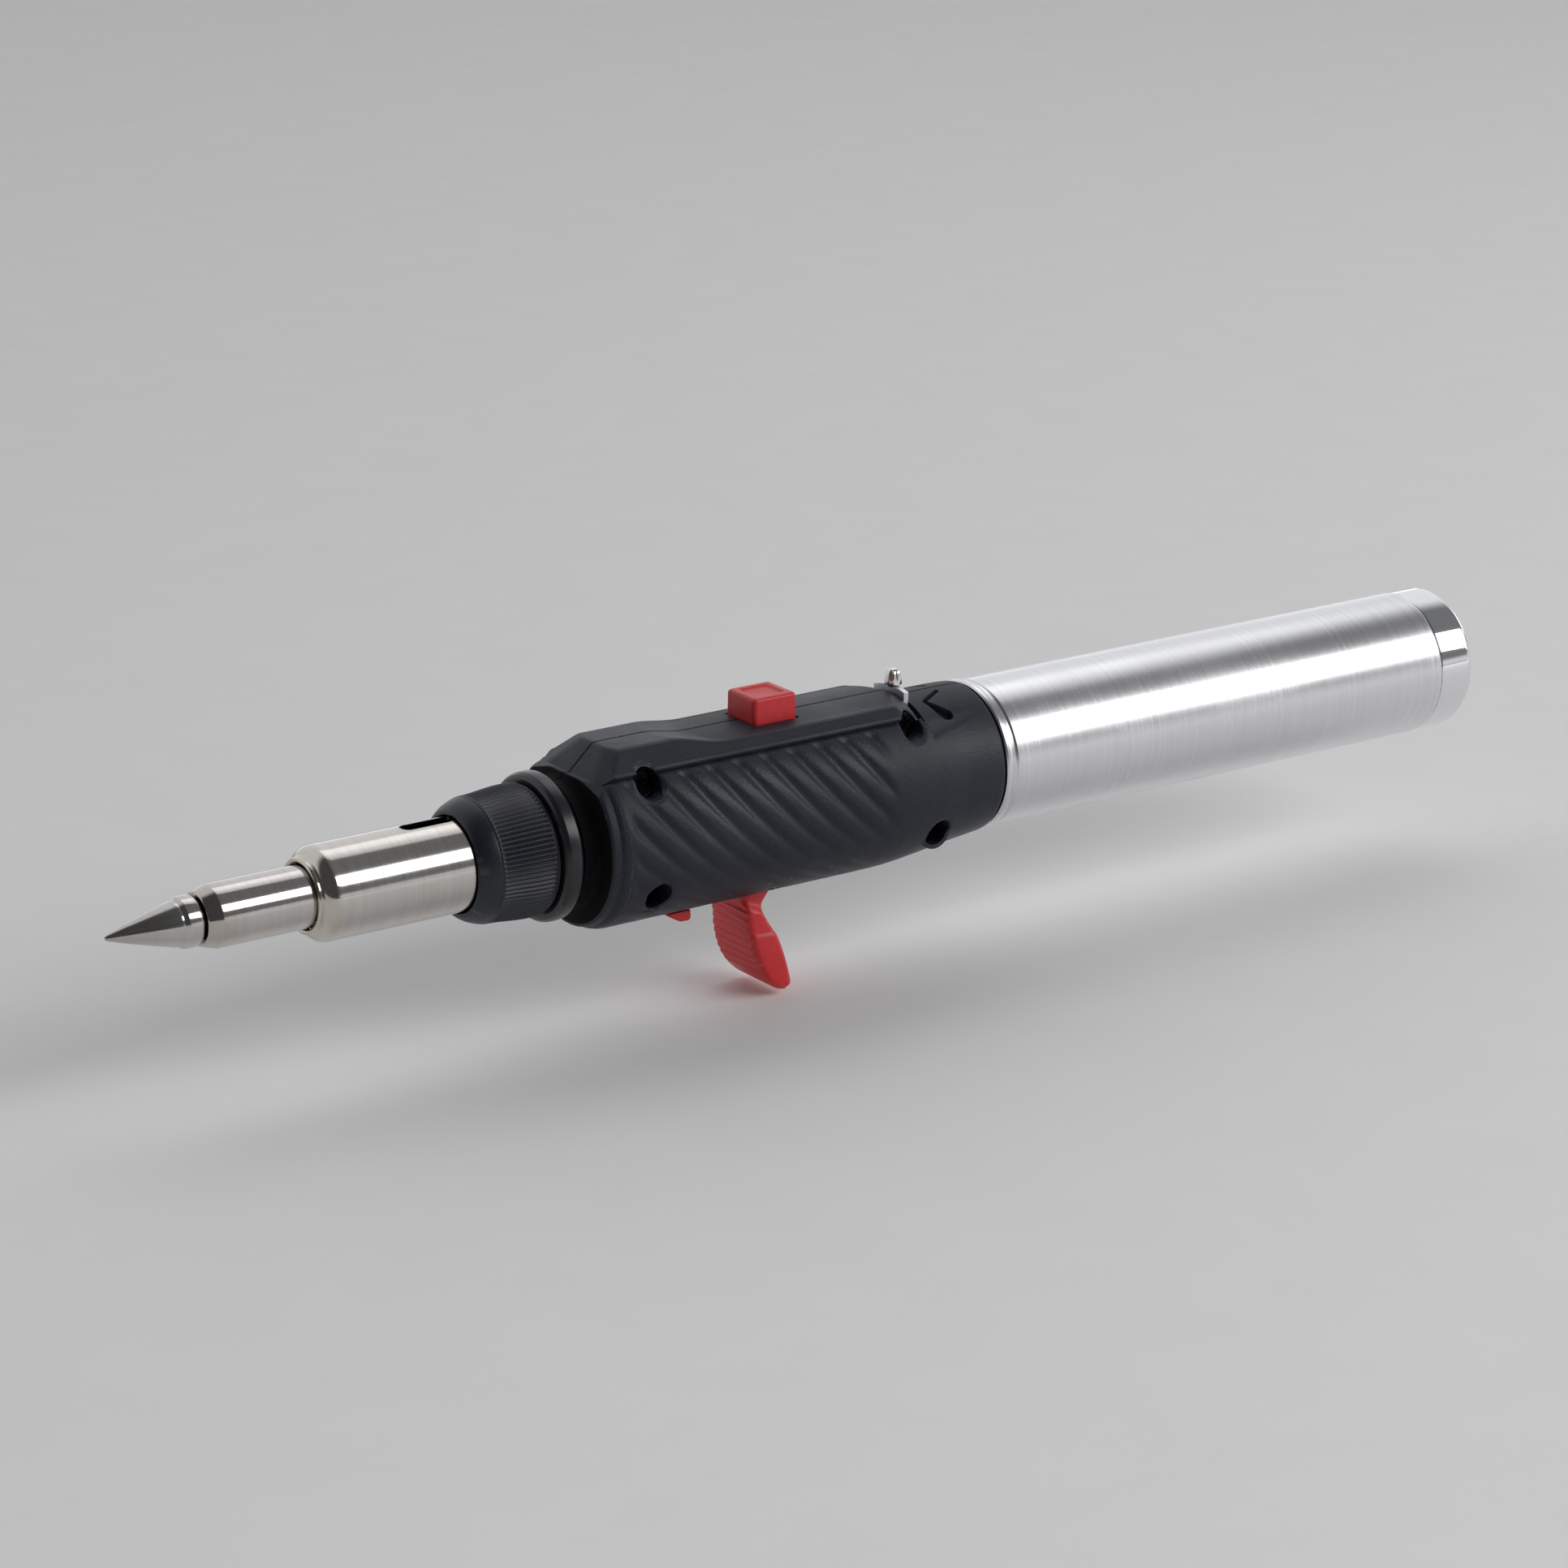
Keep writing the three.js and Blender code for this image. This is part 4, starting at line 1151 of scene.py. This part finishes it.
# %% [markdown]
# The springs are wound wire. A helix with closed end coils is a few lines of code: the angle runs
# on evenly while the place along the axis moves slowly at the ends and steadily between them. A
# circle swept along that path is the wire.


# %% Springs
def coil(name, start, end, radius, wire, turns, per_turn=28, wire_sides=10):
    start, end = np.array(start, float), np.array(end, float)
    axis = (end - start) / np.linalg.norm(end - start)
    side = np.cross(axis, [0.0, 1.0, 0.0] if abs(axis[1]) < 0.9 else [0.0, 0.0, 1.0])
    side /= np.linalg.norm(side)
    other = np.cross(axis, side)
    count = int(turns * per_turn)
    t = np.linspace(0, 1, count)
    rise = np.clip((t * turns - 1) / (turns - 2), 0, 1)
    length = np.linalg.norm(end - start)
    along = wire + (length - 2 * wire) * rise
    turn = t * turns * 2 * math.pi
    outward = np.cos(turn)[:, None] * side + np.sin(turn)[:, None] * other
    centre = start + along[:, None] * axis + outward * radius
    ring = np.arange(wire_sides) * 2 * math.pi / wire_sides
    rise_part = np.sin(ring)[:, None] * axis
    loops = [centre[i] + wire * (np.cos(ring)[:, None] * outward[i] + rise_part) for i in range(count)]
    return loft(name, loops)


def place_spring(name, body, node_name, *args):
    spring = coil(name, *args)
    return place(spring, body, "spring_steel", "spring_wire", node_name, sharp_degrees=70, weighted=False)


place_spring(
    "filler_coil", "filler_valve", "filler_valve_spring", (-13.1, 0, 0), (-6.3, 0, 0), 1.36, 0.18, 8,
)
place_spring(
    "outlet_coil", "outlet_valve", "outlet_valve_spring", (-103.6, 0, 0), (-92.7, 0, 0), 1.6, 0.25, 11,
)
place_spring("igniter_coil", "handle", "igniter_spring", (-139.2, 0, -6.2), (-139.2, 0, 0.8), 1.58, 0.25, 7)
place_spring(
    "trigger_coil", "handle", "trigger_spring", (PIN_X, -1.3, PIN_Z), (PIN_X, 1.3, PIN_Z), 1.75, 0.28,
    4.5,
)

# %% [markdown]
# Floor, light and camera. The torch is shown on a plain pale floor. Polished metal is only as good
# as what it reflects, so the room is planned for the tubes: one long softbox high on the right for
# the bright stripe, a weak one overhead for the sheen above it, a dark room between them for
# contrast, a pale wall behind, and the floor itself for the light underside.

# %% Floor
FLOOR_Z = -0.0312
bpy.ops.mesh.primitive_plane_add(size=9, location=(0, 0, FLOOR_Z))
floor = bpy.context.object
floor.name = "floor"
tree, shader = start_material("floor_paper")
place_on = node(tree, "ShaderNodeTexCoord").outputs["Object"]
fibre = node(tree, "ShaderNodeTexNoise", {"Vector": place_on, "Scale": 60.0, "Detail": 6.0}).outputs["Fac"]
tree.links.new(mixed(tree, fibre, (0.86, 0.855, 0.85), (0.90, 0.895, 0.89)), shader.inputs["Base Color"])
shader.inputs["Roughness"].default_value = 0.9
floor.data.materials.append(MATERIALS["floor_paper"])
floor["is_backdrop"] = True
print("floor at", FLOOR_Z)


# %% Lights
def direction(azimuth, elevation):
    a, e = math.radians(azimuth), math.radians(elevation)
    return np.array([math.sin(a) * math.cos(e), -math.cos(a) * math.cos(e), math.sin(e)])


MIDDLE = np.array([-0.13, 0.0, 0.0])


def softbox(name, azimuth, elevation, distance, width, height, power, colour=(1, 1, 1)):
    data = bpy.data.lights.new(name, "AREA")
    data.shape = "RECTANGLE"
    data.size, data.size_y = width, height
    data.energy = power
    data.color = colour
    lamp = bpy.data.objects.new(name, data)
    bpy.context.scene.collection.objects.link(lamp)
    toward = direction(azimuth, elevation)
    lamp.location = MIDDLE + toward * distance
    along = np.array([1.0, 0.0, 0.0]) - toward[0] * toward
    along /= np.linalg.norm(along)
    axes = Matrix([along, np.cross(toward, along), toward]).transposed()
    lamp.rotation_euler = axes.to_euler()
    return lamp


softbox("stripe_box", 40.5, 30.5, 1.5, 1.8, 0.6, 9.5)
softbox("overhead_box", 128, 58, 1.6, 1.0, 0.9, 1.3)

world = bpy.data.worlds.new("studio")
bpy.context.scene.world = world
world.use_nodes = True
tree = world.node_tree
facing = node(tree, "ShaderNodeTexCoord").outputs["Generated"]
axes = node(tree, "ShaderNodeSeparateXYZ", {"Vector": facing})
behind = spread(tree, axes.outputs["Y"], 0.08, 0.42, smooth=True)
left = spread(tree, axes.outputs["X"], 0.3, -0.1, smooth=True)
upper = calc(tree, "SUBTRACT", 0.15, calc(tree, "MULTIPLY", left, 0.09))
low = spread(tree, axes.outputs["Z"], 0.14, 0.06, smooth=True)
right = spread(tree, axes.outputs["X"], -0.1, 0.3, smooth=True)
glow = calc(tree, "MULTIPLY", low, right)
walls = calc(tree, "ADD", upper, calc(tree, "MULTIPLY", behind, 0.55))
bright = calc(tree, "ADD", walls, calc(tree, "MULTIPLY", glow, 0.4))
tree.links.new(bright, tree.nodes["Background"].inputs["Strength"])
tree.nodes["Background"].inputs["Color"].default_value = (0.97, 0.98, 1.0, 1)
print("two softboxes and a studio room")

# %% Camera
TARGET = Vector((-0.13493, 0.0, 0.0015))
CAMERA_AZIMUTH, CAMERA_ELEVATION = -34.94, 17.76
CAMERA_DISTANCE = 0.763
camera_data = bpy.data.cameras.new("camera")
camera_data.lens = 111.8
camera_data.sensor_width = 36.0
camera = bpy.data.objects.new("camera", camera_data)
bpy.context.scene.collection.objects.link(camera)
back = Vector(direction(CAMERA_AZIMUTH, CAMERA_ELEVATION))
camera.location = TARGET + back * CAMERA_DISTANCE
camera.rotation_euler = back.to_track_quat("Z", "Y").to_euler()
camera_data.clip_start, camera_data.clip_end = 0.01, 30
bpy.context.scene.camera = camera
bpy.context.scene.view_settings.view_transform = "Standard"
bpy.context.scene.view_settings.exposure = 0.3
print("camera at", [round(v, 3) for v in camera.location])

# %% Sizes for the record
low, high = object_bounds()
print("visual box in mm:", [round(v / MM, 1) for v in (*low, *high)])
